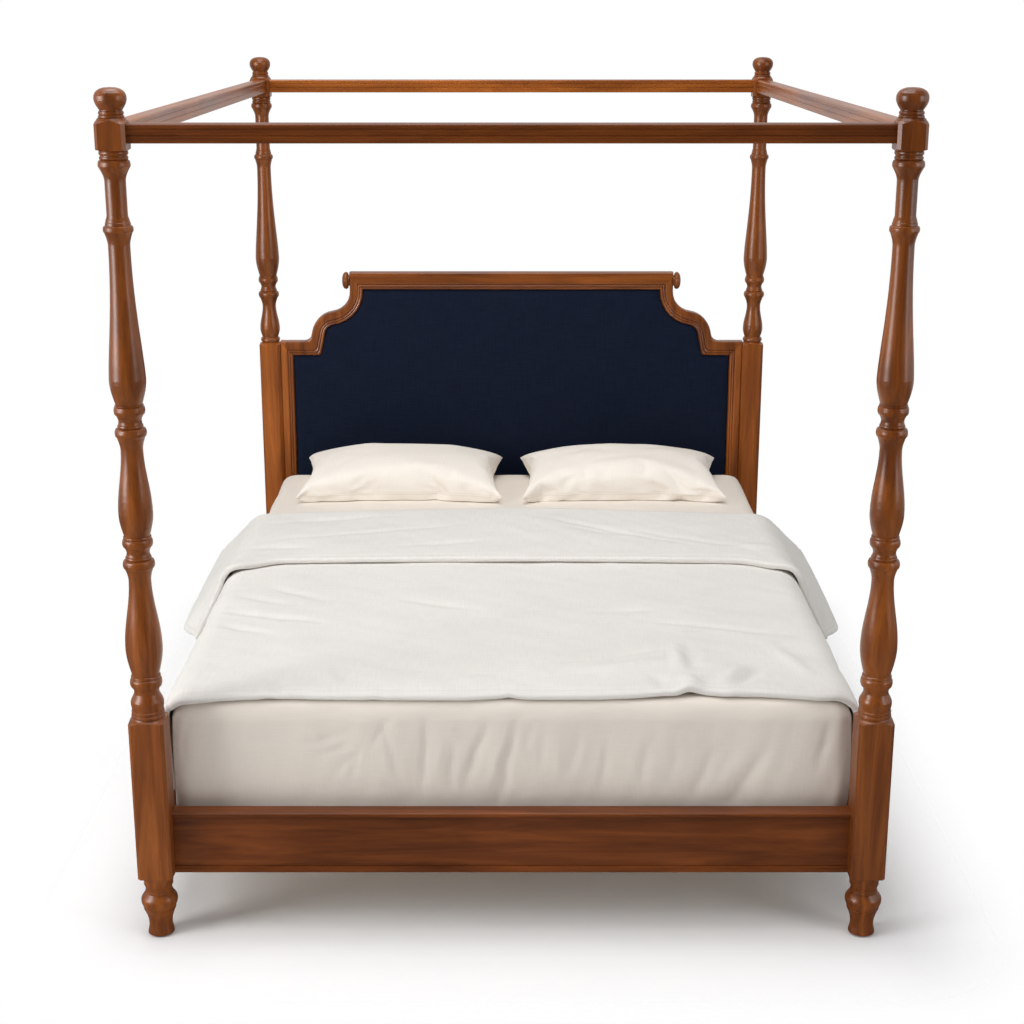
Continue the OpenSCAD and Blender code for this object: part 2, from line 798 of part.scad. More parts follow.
function polar(c, r, a) = [c[0] + r * cos(a), c[1] + r * sin(a)];
function end_of_swell(d) = polar([swell_x, swell_z], swell_r - d, lean);
function lean_to(d, z) =
    let (p = end_of_swell(d)) [p[0] + (p[1] - z) * tan(lean), z];

// Corner between the neck and a level line, rounded to the radius r: its point at the angle a
function rounded_corner(c, r, a) = polar([c[0] + r / tan(45 + lean / 2), c[1] + r], r, a);

// Scroll at +X as stations from the top mitre to the stile: [outer point, inner point, width there]
scroll = concat(
    [
        [[top_half_w, top_mitre_z], [top_half_w - frame_w, top_under_z], frame_w],
        [[top_half_w, hollow_z], [top_half_w - frame_w, hollow_z], frame_w]
    ],
    [for (i = [1 : 7]) let (a = 180 + (inflexion - 180) * i / 7, c = [hollow_x, hollow_z])
        [polar(c, hollow_r, a), polar(c, hollow_r + frame_w, a), frame_w]],
    [for (i = [1 : 7]) let (a = inflexion - 180 + (lean - inflexion + 180) * i / 7, c = [swell_x, swell_z])
        [polar(c, swell_r, a), polar(c, swell_r - frame_w, a), frame_w]],
    [for (i = [0 : 5]) let (a = 180 + lean + (90 - lean) * i / 5)
        [rounded_corner(lean_to(0, shoulder_top), shoulder_fillet_r, a),
         rounded_corner(lean_to(frame_w, shoulder_in_z), rebate_w + 1, a),
         frame_w + (shoulder_h - frame_w) * i / 5]],
    [[[frame_half_w, shoulder_top], [frame_half_w - stile_w, shoulder_in_z], shoulder_h]]
);

// Outline at the distance e inside the opening's edge
function opening_half(e, first) = concat(
    [for (k = [0 : len(scroll) - 1]) if (k == 0 || k >= first)
        let (p = scroll[k][0], q = scroll[k][1]) q + (q - p) * e / scroll[k][2]],
    [[frame_half_w - stile_w - e, headboard_bottom + frame_w + e]]
);

function opening(e, first = 1) =
    let (h = opening_half(e, first))
    concat(h, [for (i = [len(h) - 1 : -1 : 0]) [-h[i][0], h[i][1]]]);

dowel_r = 6;
dowel_l = 60;
dowel_h = frame_t / 2;
stile_dowels = [headboard_bottom + 60, (headboard_bottom + shoulder_top) / 2, shoulder_top - 90];

// Dowel lying along X at the height z, centred on the face between the stile and the post at +X
module stile_dowel(z, r, l) {
    translate([frame_half_w - l / 2, frame_back_y - dowel_h, z])
        rotate([0, 90, 0]) cylinder(r = r, h = l, $fn = 48);
}

module headboard_dowel_holes() {
    for (z = stile_dowels) stile_dowel(z, dowel_r + bore_gap, dowel_l + 2);
}

module headboard_dowels() {
    color(PINE)
    for (s = [0, 1]) mirror([s, 0, 0])
        for (z = stile_dowels) stile_dowel(z, dowel_r, dowel_l);
}

// Stile at +X, mitred to the level shoulder above and to the bottom rail below
module headboard_stile() {
    color(WOOD)
    difference() {
        upright()
        intersection() {
            run([frame_half_w, headboard_bottom], 90, shoulder_top - headboard_bottom, stile_w);
            translate([0, 0, -1]) linear_extrude(frame_t + 2)
                polygon([
                    [frame_half_w + 1, headboard_bottom - (frame_w / stile_w)],
                    [frame_half_w + 1, shoulder_top + (shoulder_h / stile_w)],
                    [frame_half_w - stile_w - 1, shoulder_in_z - (shoulder_h / stile_w)],
                    [frame_half_w - stile_w - 1, headboard_bottom + frame_w + (frame_w / stile_w)]
                ]);
        }
        headboard_dowel_holes();
    }
}

module headboard_bottom_rail() {
    color(WOOD)
    upright()
    intersection() {
        run([-frame_half_w, headboard_bottom], 0, 2 * frame_half_w, frame_w);
        translate([0, 0, -1]) linear_extrude(frame_t + 2)
            polygon([
                [-frame_half_w, headboard_bottom], [frame_half_w, headboard_bottom],
                [frame_half_w - stile_w, headboard_bottom + frame_w],
                [-frame_half_w + stile_w, headboard_bottom + frame_w]
            ]);
    }
}

// Top rail with mitred lower corners and a half-round back
module headboard_top_rail() {
    color(WOOD)
    upright()
    intersection() {
        run([top_half_w, headboard_top], 180, 2 * top_half_w, top_rail_h);
        translate([0, 0, -1]) linear_extrude(frame_t + 2)
            polygon([
                [-top_half_w, headboard_top], [-top_half_w, top_mitre_z], [-top_half_w + frame_w, top_under_z],
                [top_half_w - frame_w, top_under_z], [top_half_w, top_mitre_z], [top_half_w, headboard_top]
            ]);
    }
}

// Scroll at +X: the moulding swept along its stations, closed by a mitre at each end
module headboard_scroll() {
    m = len(moulding(frame_w));
    n = len(scroll);
    points = [
        for (st = scroll)
            for (s = moulding(st[2]))
                let (p = st[0] + (st[1] - st[0]) * s[0] / st[2]) [p[0], p[1], s[1]]
    ];
    sides = [
        for (k = [0 : n - 2])
            for (i = [0 : m - 1])
                let (j = (i + 1) % m)
                    each [
                        [k * m + i, (k + 1) * m + j, k * m + j],
                        [k * m + i, (k + 1) * m + i, (k + 1) * m + j]
                    ]
    ];
    ends = [[for (i = [0 : m - 1]) i], [for (i = [m - 1 : -1 : 0]) (n - 1) * m + i]];
    color(WOOD) upright() polyhedron(points, concat(sides, ends));
}

// Turned button on the end of the top rail, at +X
module roll_end() {
    color(WOOD)
    translate([top_half_w, frame_back_y - frame_t / 2, headboard_top - roll_r])
        rotate([0, 90, 0])
            turned(
                [
                    ["line", 4, roll_r * 0.62],
                    ["line", 1, roll_r * 0.84],
                    ["belly", 6, roll_r],
                    ["dome", 14, roll_r * 0.1]
                ],
                roll_r * 0.62, 0);
}

pad_back_h = rebate_d + joint_gap / 2;
pad_gap = 0.5;

module back_panel() {
    color(PINE)
    upright() linear_extrude(rebate_d - joint_gap / 2) polygon(opening(joint_gap - rebate_w));
}

// Upholstered pad: nested layers of the opening's outline, drawn in towards the crowned front.
// Each layer is [distance inside the opening, share of the pad's depth].
pad_layers = [[0, 0.6], [0.6, 0.72], [1.6, 0.8], [3.4, 0.87], [6.5, 0.93], [11, 0.97], [18, 1]];

module headboard_pad() {
    depth = frame_t - 9 - pad_back_h + pad_crown;
    color(NAVY)
    upright() translate([0, 0, pad_back_h])
        for (layer = pad_layers)
            linear_extrude(depth * layer[1]) polygon(opening(pad_gap + layer[0], 2));
}

// Bedding

// Mattress: rings of a rounded rectangle; each ring is [height fraction or offset, inset]
function rounded_ring(hw, hl, r) = [
    for (q = [0 : 3])
        let (sx = (q == 0 || q == 3) ? 1 : -1, sy = q < 2 ? 1 : -1)
        for (i = [0 : 6])
            let (a = q * 90 + i * 15)
            [sx * (hw - r) + r * cos(a), sy * (hl - r) + r * sin(a)]
];

module mattress() {
    hw = mattress_w / 2;
    hl = mattress_l / 2;
    e = mattress_edge_r;
    levels = concat(
        [[0, 14], [5, 4], [14, 0], [mattress_t * 0.36, 4], [mattress_t * 0.62, 3], [mattress_t - e, 0]],
        [for (a = [18 : 18 : 90]) [mattress_t - e + e * sin(a) - 3 * (a / 90), e * (1 - cos(a))]],
        [[mattress_t - 1, e + 90], [mattress_t, e + 260]]
    );
    rings = [for (l = levels) rounded_ring(hw - l[1], hl - l[1], max(mattress_corner_r - l[1] * 0.4, 20))];
    m = len(rings[0]);
    n = len(rings);
    points = [for (k = [0 : n - 1]) for (p = rings[k]) [p[0], p[1], levels[k][0]]];
    sides = [
        for (k = [0 : n - 2])
            for (i = [0 : m - 1])
                let (j = (i + 1) % m)
                    each [
                        [k * m + i, (k + 1) * m + i, (k + 1) * m + j],
                        [k * m + i, (k + 1) * m + j, k * m + j]
                    ]
    ];
    color(SHEET)
    translate([0, (mattress_foot_y + mattress_head_y) / 2, mattress_bottom])
        polyhedron(points, concat([[for (i = [0 : m - 1]) i]], sides, [[for (i = [m - 1 : -1 : 0]) (n - 1) * m + i]]));
}

// Duvet: a thick sheet whose length runs from the front hem to the fold by the pillows and back over
// itself. Across its width it follows the mattress's edge, at the distance called lift outside it.
duvet_front_y = mattress_foot_y + duvet_setback;
duvet_cover = mattress_l - duvet_setback - duvet_head_gap;
duvet_fold_y = duvet_front_y + duvet_cover;
duvet_cuff_y = duvet_fold_y - duvet_turnback;
duvet_layer = duvet_t + 2;
duvet_flat_half = mattress_w / 2 - mattress_edge_r;
duvet_arc = (mattress_edge_r + duvet_t / 2) * PI / 2;

// Smooth step from 0 at a to 1 at b
function step_between(a, b, v) = let (t = max(0, min(1, (v - a) / (b - a)))) t * t * (3 - 2 * t);

// Path along the length: [y, lift of the sheet's middle, share of the spread]. The lower layer hangs
// straight down and opens towards the fold, the turned-back part closes a little towards its hem.
duvet_path = concat(
    [for (f = [0, 0.02, 0.06, 0.14, 0.28, 0.44, 0.58, 0.7, 0.82, 0.93, 1])
        let (y = duvet_front_y + duvet_cover * f, g = min(1, (duvet_fold_y - y) / duvet_turnback))
        [y, duvet_t / 2 + 0.6, 1 - pow(sin(90 * g), 1.2)]],
    [for (a = [-60 : 30 : 60])
        [duvet_fold_y + duvet_layer / 2 * cos(a), duvet_t / 2 + 0.6 + duvet_layer / 2 * (1 + sin(a)), 1]],
    [for (f = [0, 0.08, 0.2, 0.35, 0.5, 0.65, 0.8, 0.93, 1])
        [duvet_fold_y - duvet_turnback * f, duvet_t / 2 + 0.6 + duvet_layer, 1 - 0.24 * f]]
);

// Point of the width's curve: u is the distance from the middle line, lift the distance outside the
// mattress, spread the angle by which the hanging part stands out, short what its hem is drawn up by
function duvet_across(u, lift, spread, short) =
    let (
        a = abs(u), s = u < 0 ? -1 : 1,
        turn = 90 - spread,
        bend = max(0, min(1, (a - duvet_flat_half) / duvet_arc)),
        r = mattress_edge_r + lift + (0.6 + 0.08 * spread) * bend,
        hang = duvet_arc * (1 - turn / 90) + duvet_drop - short,
        down = max(0, (a - duvet_flat_half - duvet_arc) / duvet_drop) * hang
    )
    [
        s * (a < duvet_flat_half ? a : duvet_flat_half + r * sin(turn * bend) + down * cos(turn)),
        mattress_top - mattress_edge_r + (a < duvet_flat_half ? r : r * cos(turn * bend)) - down * sin(turn)
    ];

// The fold and the turned-back hem bow towards the foot at the sides; the front hem rounds its corners
function duvet_shift(a, y) =
    let (
        corner = 70 * step_between(duvet_flat_half - 6, duvet_flat_half + 110, a),
        hem_bow = 22 * pow(min(a, duvet_flat_half) / duvet_flat_half, 2)
            + 64 * step_between(duvet_flat_half - 100, duvet_flat_half + 50, a),
        fold_bow = 66 * min(a, duvet_flat_half) / duvet_flat_half,
        g = step_between(duvet_cuff_y, duvet_fold_y, y)
    )
    corner * max(0, 1 - (y - duvet_front_y) / 300)
    - (hem_bow * (1 - g) + fold_bow * g) * step_between(duvet_cuff_y - 400, duvet_cuff_y - 60, y);

// The mattress's rounded foot end lets the front hem dip
function hem_dip(y) = y < duvet_front_y + 40 ? -5 * pow(1 - (y - duvet_front_y) / 40, 2) : 0;

// Low, broad waves, which fade at the hems
function duvet_wave(u, y) = 1.6 * sin(u * 0.42 + y * 0.11) * sin(y * 0.3) + 1.6;

duvet_half_l = duvet_flat_half + duvet_arc + duvet_drop;
duvet_columns = concat(
    [for (f = [-1, -0.66, -0.33]) -duvet_half_l + duvet_drop * (1 + f)],
    [for (i = [0 : 4]) -duvet_flat_half - duvet_arc * (1 - i / 5)],
    [for (i = [-4 : 4]) duvet_flat_half * i / 4.4],
    [for (i = [4 : -1 : 0]) duvet_flat_half + duvet_arc * (1 - i / 5)],
    [for (f = [-0.33, -0.66, -1]) duvet_half_l - duvet_drop * (1 + f)]
);

// Direction of the sheet's thickness at station k: along the lift, turning with the fold
function path_normal(k) =
    let (
        p = duvet_path[max(0, k - 1)], q = duvet_path[min(len(duvet_path) - 1, k + 1)],
        dy = q[0] - p[0], dl = q[1] - p[1], l = norm([dy, dl])
    )
    [-dl / l, dy / l];

function duvet_point(k, u, side) =
    let (
        n = path_normal(k), h = duvet_t / 2,
        y = duvet_path[k][0] + side * h * n[0],
        lift = duvet_path[k][1] + side * h * n[1],
        short = 50 * step_between(duvet_cuff_y + 100, duvet_fold_y, y),
        p = duvet_across(u, lift, duvet_spread * duvet_path[k][2], short),
        moved = y + duvet_shift(abs(u), y)
    )
    [p[0], moved, p[1] + hem_dip(moved) + duvet_wave(u, y)];

module duvet() {
    nk = len(duvet_path);
    nu = len(duvet_columns);
    points = [
        for (side = [1, -1]) for (k = [0 : nk - 1]) for (u = duvet_columns) duvet_point(k, u, side)
    ];
    function at(s, k, i) = s * nk * nu + k * nu + i;
    faces = concat(
        [for (k = [0 : nk - 2]) for (i = [0 : nu - 2]) each [
            [at(0, k, i), at(0, k + 1, i), at(0, k + 1, i + 1)], [at(0, k, i), at(0, k + 1, i + 1), at(0, k, i + 1)],
            [at(1, k, i), at(1, k + 1, i + 1), at(1, k + 1, i)], [at(1, k, i), at(1, k, i + 1), at(1, k + 1, i + 1)]
        ]],
        [for (k = [0 : nk - 2]) each [
            [at(0, k, 0), at(1, k, 0), at(1, k + 1, 0)], [at(0, k, 0), at(1, k + 1, 0), at(0, k + 1, 0)],
            [at(0, k, nu - 1), at(1, k + 1, nu - 1), at(1, k, nu - 1)],
            [at(0, k, nu - 1), at(0, k + 1, nu - 1), at(1, k + 1, nu - 1)]
        ]],
        [for (i = [0 : nu - 2]) each [
            [at(0, 0, i), at(0, 0, i + 1), at(1, 0, i + 1)], [at(0, 0, i), at(1, 0, i + 1), at(1, 0, i)],
            [at(0, nk - 1, i), at(1, nk - 1, i + 1), at(0, nk - 1, i + 1)],
            [at(0, nk - 1, i), at(1, nk - 1, i), at(1, nk - 1, i + 1)]
        ]]
    );
    color(LINEN) polyhedron(points, faces);
}

pillow_head_gap = 22;
pillow_y = mattress_head_y - pillow_head_gap - pillow_d / 2;
pillow_seam_z = mattress_top + soft_gap + pillow_t * 0.27;
pillow_steps = 14;

// Pillow: plan with drawn-in edges and pointed ears, crowned above, flat where it rests
function pillow_point(i, j, side) =
    let (
        u = -cos(180 * i / pillow_steps), v = -cos(180 * j / pillow_steps),
        x = pillow_w / 2 * u * (1 - 0.07 * cos(90 * v)),
        y = pillow_d / 2 * v * (1 - (v < 0 ? 0.03 : 0.09) * cos(90 * u)),
        full = pow(max(0, cos(90 * u)), 0.5) * pow(max(0, cos(90 * v)), 0.5),
        tilt = 0.085 * y,
        up = side > 0 ? full * pillow_t * 0.73 : -full * pillow_t * 0.5
    )
    [x, y, max(mattress_top + soft_gap, pillow_seam_z + tilt + up)];

module pillow(x) {
    n = pillow_steps;
    m = n + 1;
    points = concat(
        [for (i = [0 : n]) for (j = [0 : n]) pillow_point(i, j, 1)],
        [for (i = [1 : n - 1]) for (j = [1 : n - 1]) pillow_point(i, j, -1)]
    );
    function top(i, j) = i * m + j;
    function low(i, j) =
        (i == 0 || j == 0 || i == n || j == n) ? top(i, j) : m * m + (i - 1) * (n - 1) + j - 1;
    // Each quad is cut along the diagonal that points to the pillow's nearest corner
    faces = [
        for (i = [0 : n - 1]) for (j = [0 : n - 1]) each (
            (i < n / 2) == (j < n / 2)
            ? [
                [top(i, j), top(i, j + 1), top(i + 1, j + 1)], [top(i, j), top(i + 1, j + 1), top(i + 1, j)],
                [low(i, j), low(i + 1, j + 1), low(i, j + 1)], [low(i, j), low(i + 1, j), low(i + 1, j + 1)]
            ]
            : [
                [top(i, j), top(i, j + 1), top(i + 1, j)], [top(i, j + 1), top(i + 1, j + 1), top(i + 1, j)],
                [low(i, j), low(i + 1, j), low(i, j + 1)], [low(i, j + 1), low(i + 1, j), low(i + 1, j + 1)]
            ]
        )
    ];
    color(SHEET) translate([x, pillow_y, 0]) polyhedron(points, faces);
}

pillow_x = pillow_w / 2 + pillow_gap / 2;

mirror([1, 0, 0]) foot_post_base();  // foot_post_base_left
foot_post_base();  // foot_post_base_right
mirror([1, 0, 0]) head_post_base();  // head_post_base_left
head_post_base();  // head_post_base_right
mirror([1, 0, 0]) upper_post(foot_turning, foot_turning_start_r, foot_joint_z, foot_y, 1);  // foot_post_left
upper_post(foot_turning, foot_turning_start_r, foot_joint_z, foot_y, 1);  // foot_post_right
mirror([1, 0, 0]) upper_post(head_turning, head_turning_start_r, head_joint_z, head_y, -1);  // head_post_left
upper_post(head_turning, head_turning_start_r, head_joint_z, head_y, -1);  // head_post_right
finial(-post_x, foot_y);  // finial_foot_left
finial(post_x, foot_y);  // finial_foot_right
finial(-post_x, head_y);  // finial_head_left
finial(post_x, head_y);  // finial_head_right
canopy_rail_across(foot_y);  // canopy_rail_foot
canopy_rail_across(head_y);  // canopy_rail_head
canopy_rail_along(-post_x);  // canopy_rail_left
canopy_rail_along(post_x);  // canopy_rail_right
foot_rail();
foot_rail_cap();
foot_rail_moulding();
head_rail();
mirror([1, 0, 0]) side_rail();  // side_rail_left
side_rail();  // side_rail_right
mirror([1, 0, 0]) side_rail_cap();  // side_rail_cap_left
side_rail_cap();  // side_rail_cap_right
mirror([1, 0, 0]) side_rail_moulding();  // side_rail_moulding_left
side_rail_moulding();  // side_rail_moulding_right
mirror([1, 0, 0]) slat_ledger();  // slat_ledger_left
slat_ledger();  // slat_ledger_right
slats();
centre_beam();
centre_legs();
beam_hangers();
rail_hooks();
rail_catch_plates();
post_studs();
foot_glides();
mirror([1, 0, 0]) headboard_stile();  // headboard_stile_left
headboard_stile();  // headboard_stile_right
mirror([1, 0, 0]) headboard_scroll();  // headboard_scroll_left
headboard_scroll();  // headboard_scroll_right
headboard_top_rail();
headboard_bottom_rail();
mirror([1, 0, 0]) roll_end();  // roll_end_left
roll_end();  // roll_end_right
headboard_dowels();
back_panel();
headboard_pad();
mattress();
duvet();
pillow(-pillow_x);  // pillow_left
pillow(pillow_x);  // pillow_right
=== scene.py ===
import bpy
import numpy as np
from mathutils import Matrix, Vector


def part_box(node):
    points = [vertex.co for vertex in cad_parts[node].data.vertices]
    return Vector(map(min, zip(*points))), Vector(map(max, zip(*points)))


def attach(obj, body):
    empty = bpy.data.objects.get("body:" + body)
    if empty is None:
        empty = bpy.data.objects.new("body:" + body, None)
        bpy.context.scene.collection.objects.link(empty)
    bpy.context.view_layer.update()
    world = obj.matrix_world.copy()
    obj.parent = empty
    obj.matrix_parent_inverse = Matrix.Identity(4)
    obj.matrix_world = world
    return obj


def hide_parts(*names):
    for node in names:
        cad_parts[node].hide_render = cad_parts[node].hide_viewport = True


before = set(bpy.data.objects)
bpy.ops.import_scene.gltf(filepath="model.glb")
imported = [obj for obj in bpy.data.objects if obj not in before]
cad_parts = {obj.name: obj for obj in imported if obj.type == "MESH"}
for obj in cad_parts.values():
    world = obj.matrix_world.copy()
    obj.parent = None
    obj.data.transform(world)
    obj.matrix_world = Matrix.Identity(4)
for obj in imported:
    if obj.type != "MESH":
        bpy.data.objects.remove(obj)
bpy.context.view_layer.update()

# Places and sizes of the bedding and the headboard, in metres, as the frame has them
MATTRESS_LOW, MATTRESS_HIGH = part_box("mattress")
MATTRESS_TOP = 0.5403
MATTRESS_EDGE = 0.050
PAD_LOW, PAD_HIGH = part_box("headboard_pad")


# Colours

def paint(red, green, blue):
    """Linear colour of a shade that is written on the 0 to 255 scale of a screen."""
    shade = np.array([red, green, blue]) / 255.0
    linear = np.where(shade <= 0.04045, shade / 12.92, ((shade + 0.055) / 1.055) ** 2.4)
    return (*linear.tolist(), 1.0)


class Finish:
    """A material that is being made, with short ways to add nodes and to join them."""

    def __init__(self, name):
        self.material = bpy.data.materials.new(name)
        self.material.use_nodes = True
        self.tree = self.material.node_tree
        self.surface = self.tree.nodes["Principled BSDF"]

    def node(self, kind, inputs, **settings):
        new = self.tree.nodes.new(kind)
        for key, value in settings.items():
            setattr(new, key, value)
        for key, value in inputs.items():
            self.put(new.inputs[key], value)
        return new

    def put(self, socket, value):
        if isinstance(value, bpy.types.NodeSocket):
            self.tree.links.new(value, socket)
        else:
            socket.default_value = value

    def set(self, **values):
        """Sets the shader's own sockets, named with underscores for spaces."""
        for key, value in values.items():
            self.put(self.surface.inputs[key.replace("_", " ")], value)

    def place(self, output="Object"):
        return self.node("ShaderNodeTexCoord", {}).outputs[output]

    def stretched(self, place, stretch):
        return self.node("ShaderNodeMapping", {"Vector": place, "Scale": stretch}).outputs[0]

    def noise(self, place, scale, detail=4.0, rough=0.55, distortion=0.0):
        return self.node("ShaderNodeTexNoise", {
            "Vector": place, "Scale": scale, "Detail": detail, "Roughness": rough, "Distortion": distortion,
        }).outputs["Fac"]

    def ramp(self, factor, stops):
        new = self.node("ShaderNodeValToRGB", {"Fac": factor})
        points = new.color_ramp.elements
        while len(points) < len(stops):
            points.new(0.5)
        for point, (position, colour) in zip(points, stops):
            point.position = position
            point.color = colour if hasattr(colour, "__len__") else (colour, colour, colour, 1.0)
        return new.outputs["Color"]

    def mix(self, a, b, factor, blend="MIX"):
        new = self.tree.nodes.new("ShaderNodeMix")
        new.data_type = "RGBA"
        new.blend_type = blend
        for number, value in ((0, factor), (6, a), (7, b)):
            self.put(new.inputs[number], value)
        return new.outputs[2]

    def math(self, operation, a, b=0.0, c=0.0):
        return self.node("ShaderNodeMath", {0: a, 1: b, 2: c}, operation=operation).outputs[0]

    def bump(self, height, strength, distance, normal=None):
        inputs = {"Height": height, "Strength": strength, "Distance": distance}
        if normal is not None:
            inputs["Normal"] = normal
        return self.node("ShaderNodeBump", inputs).outputs["Normal"]


GRAIN_ALONG = {"x": (1.0, 16.0, 16.0), "y": (16.0, 1.0, 16.0), "z": (16.0, 16.0, 1.0)}


def lacquered_wood(name, axis, light, middle, dark, coat=0.60):
    """Satin hardwood whose grain runs along an axis: broad streaks, fine pores and soft blotches."""
    wood = Finish(name)
    place = wood.place()
    along = wood.stretched(place, GRAIN_ALONG[axis])
    streaks = wood.noise(along, 1.7, 5.0, 0.6, 0.9)
    pores = wood.noise(along, 14.0, 3.0, 0.65, 0.2)
    blotches = wood.noise(place, 3.2, 2.0, 0.5, 0.4)
    tone = wood.ramp(streaks, [(0.30, dark), (0.5, middle), (0.72, light)])
    tone = wood.mix(tone, wood.ramp(pores, [(0.30, 0.62), (0.50, 1.0)]), 0.45, "MULTIPLY")
    tone = wood.mix(tone, wood.ramp(blotches, [(0.3, 0.74), (0.7, 1.10)]), 0.7, "MULTIPLY")
    wood.put(wood.surface.inputs["Base Color"], tone)
    wood.put(wood.surface.inputs["Roughness"], wood.ramp(blotches, [(0.3, 0.30), (0.75, 0.42)]))
    wood.set(Specular_IOR_Level=0.18, Coat_Weight=coat, Coat_Roughness=0.27)
    wood.put(wood.surface.inputs["Normal"], wood.bump(pores, 0.04, 0.0006))
    return wood.material


CHERRY_SHADES = (paint(162, 89, 29), paint(130, 67, 16), paint(98, 46, 10))
# A darker copy of the posts' cherry, as painted shade: for the canopy's front rail, the foot and head rails
# and the side rails.
CHERRY_PAINTED_SHADE_TONES = (paint(140, 73, 24), paint(114, 57, 17), paint(86, 41, 11))
# A lighter copy of the posts' cherry, as painted light: for the headboard's stiles, the head posts' bases
# and the back and side canopy rails.
CHERRY_PAINTED_LIGHT_TONES = (paint(186, 104, 35), paint(157, 84, 24), paint(122, 61, 17))
cherry_upright = lacquered_wood("cherry_upright", "z", *CHERRY_SHADES)
cherry_across = lacquered_wood("cherry_across", "x", *CHERRY_SHADES)
# Lighter copies of the cherry: painted light.
cherry_painted_light_upright = lacquered_wood("cherry_painted_light_upright", "z", *CHERRY_PAINTED_LIGHT_TONES)
cherry_painted_light_across = lacquered_wood("cherry_painted_light_across", "x", *CHERRY_PAINTED_LIGHT_TONES)
cherry_painted_light_along = lacquered_wood("cherry_painted_light_along", "y", *CHERRY_PAINTED_LIGHT_TONES)
# Darker copies of the cherry: painted shade.
cherry_painted_shade_across = lacquered_wood("cherry_painted_shade_across", "x", *CHERRY_PAINTED_SHADE_TONES, coat=0.25)
cherry_painted_shade_along = lacquered_wood("cherry_painted_shade_along", "y", *CHERRY_PAINTED_SHADE_TONES, coat=0.55)


def planed_pine(name, axis):
    """Unfinished softwood: pale, matt, with darker growth lines along an axis."""
    pine = Finish(name)
    along = pine.stretched(pine.place(), GRAIN_ALONG[axis])
    lines = pine.noise(along, 2.4, 4.0, 0.6, 1.2)
    fibres = pine.noise(along, 22.0, 2.0, 0.6)
    tone = pine.ramp(lines, [
        (0.3, paint(196, 160, 112)), (0.52, paint(222, 190, 144)), (0.7, paint(208, 172, 124)),
    ])
    tone = pine.mix(tone, pine.ramp(fibres, [(0.3, 0.8), (0.6, 1.0)]), 0.5, "MULTIPLY")
    pine.put(pine.surface.inputs["Base Color"], tone)
    pine.put(pine.surface.inputs["Roughness"], pine.ramp(fibres, [(0.3, 0.62), (0.7, 0.78)]))
    pine.put(pine.surface.inputs["Normal"], pine.bump(fibres, 0.2, 0.0006))
    return pine.material


def zinc_steel(name):
    """Zinc plated sheet steel with faint crystals and scuffs."""
    steel = Finish(name)
    place = steel.place()
    crystals = steel.node("ShaderNodeTexVoronoi", {"Vector": place, "Scale": 160.0}).outputs["Distance"]
    scuffs = steel.noise(steel.stretched(place, (4.0, 30.0, 30.0)), 6.0, 4.0, 0.6)
    tone = steel.ramp(crystals, [(0.0, paint(168, 172, 176)), (0.6, paint(196, 198, 200))])
    steel.put(steel.surface.inputs["Base Color"], tone)
    steel.put(steel.surface.inputs["Roughness"], steel.ramp(scuffs, [(0.3, 0.28), (0.7, 0.5)]))
    steel.set(Metallic=1.0)
    steel.put(steel.surface.inputs["Normal"], steel.bump(scuffs, 0.1, 0.0003))
    return steel.material


def moulded_nylon(name):
    """Matt moulded plastic with a fine grained skin."""
    nylon = Finish(name)
    grains = nylon.noise(nylon.place(), 900.0, 2.0)
    tone = nylon.ramp(grains, [(0.3, paint(44, 40, 38)), (0.7, paint(58, 54, 50))])
    nylon.put(nylon.surface.inputs["Base Color"], tone)
    nylon.put(nylon.surface.inputs["Roughness"], nylon.ramp(grains, [(0.3, 0.5), (0.7, 0.65)]))
    nylon.put(nylon.surface.inputs["Normal"], nylon.bump(grains, 0.15, 0.0003))
    return nylon.material


pine_across = planed_pine("pine_across", "x")
pine_along = planed_pine("pine_along", "y")
pine_upright = planed_pine("pine_upright", "z")
steel = zinc_steel("zinc_steel")
nylon = moulded_nylon("moulded_nylon")

NODE_FINISH = (
    (("canopy_rail_foot", "foot_rail", "foot_rail_cap", "foot_rail_moulding", "head_rail"),
     cherry_painted_shade_across),
    (("canopy_rail_head",), cherry_painted_light_across),
    (("headboard_stile_left", "headboard_stile_right", "head_post_base_left", "head_post_base_right"),
     cherry_painted_light_upright),
    (("canopy_rail_left", "canopy_rail_right"), cherry_painted_light_along),
    (("side_rail_left", "side_rail_right", "side_rail_cap_left",
      "side_rail_cap_right", "side_rail_moulding_left", "side_rail_moulding_right"), cherry_painted_shade_along),
    (("headboard_top_rail", "headboard_bottom_rail", "roll_end_left", "roll_end_right"), cherry_across),
    (("slats", "headboard_dowels"), pine_across),
    (("slat_ledger_left", "slat_ledger_right", "centre_beam"), pine_along),
    (("back_panel", "centre_legs"), pine_upright),
    (("beam_hangers", "rail_hooks", "rail_catch_plates", "post_studs"), steel),
    (("foot_glides",), nylon),
)
finish_of = {node: material for nodes, material in NODE_FINISH for node in nodes}
for node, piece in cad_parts.items():
    material = finish_of.get(node, cherry_upright)
    if not piece.material_slots:
        piece.data.materials.append(material)
    for slot in piece.material_slots:
        slot.material = material


# Cloth finishes

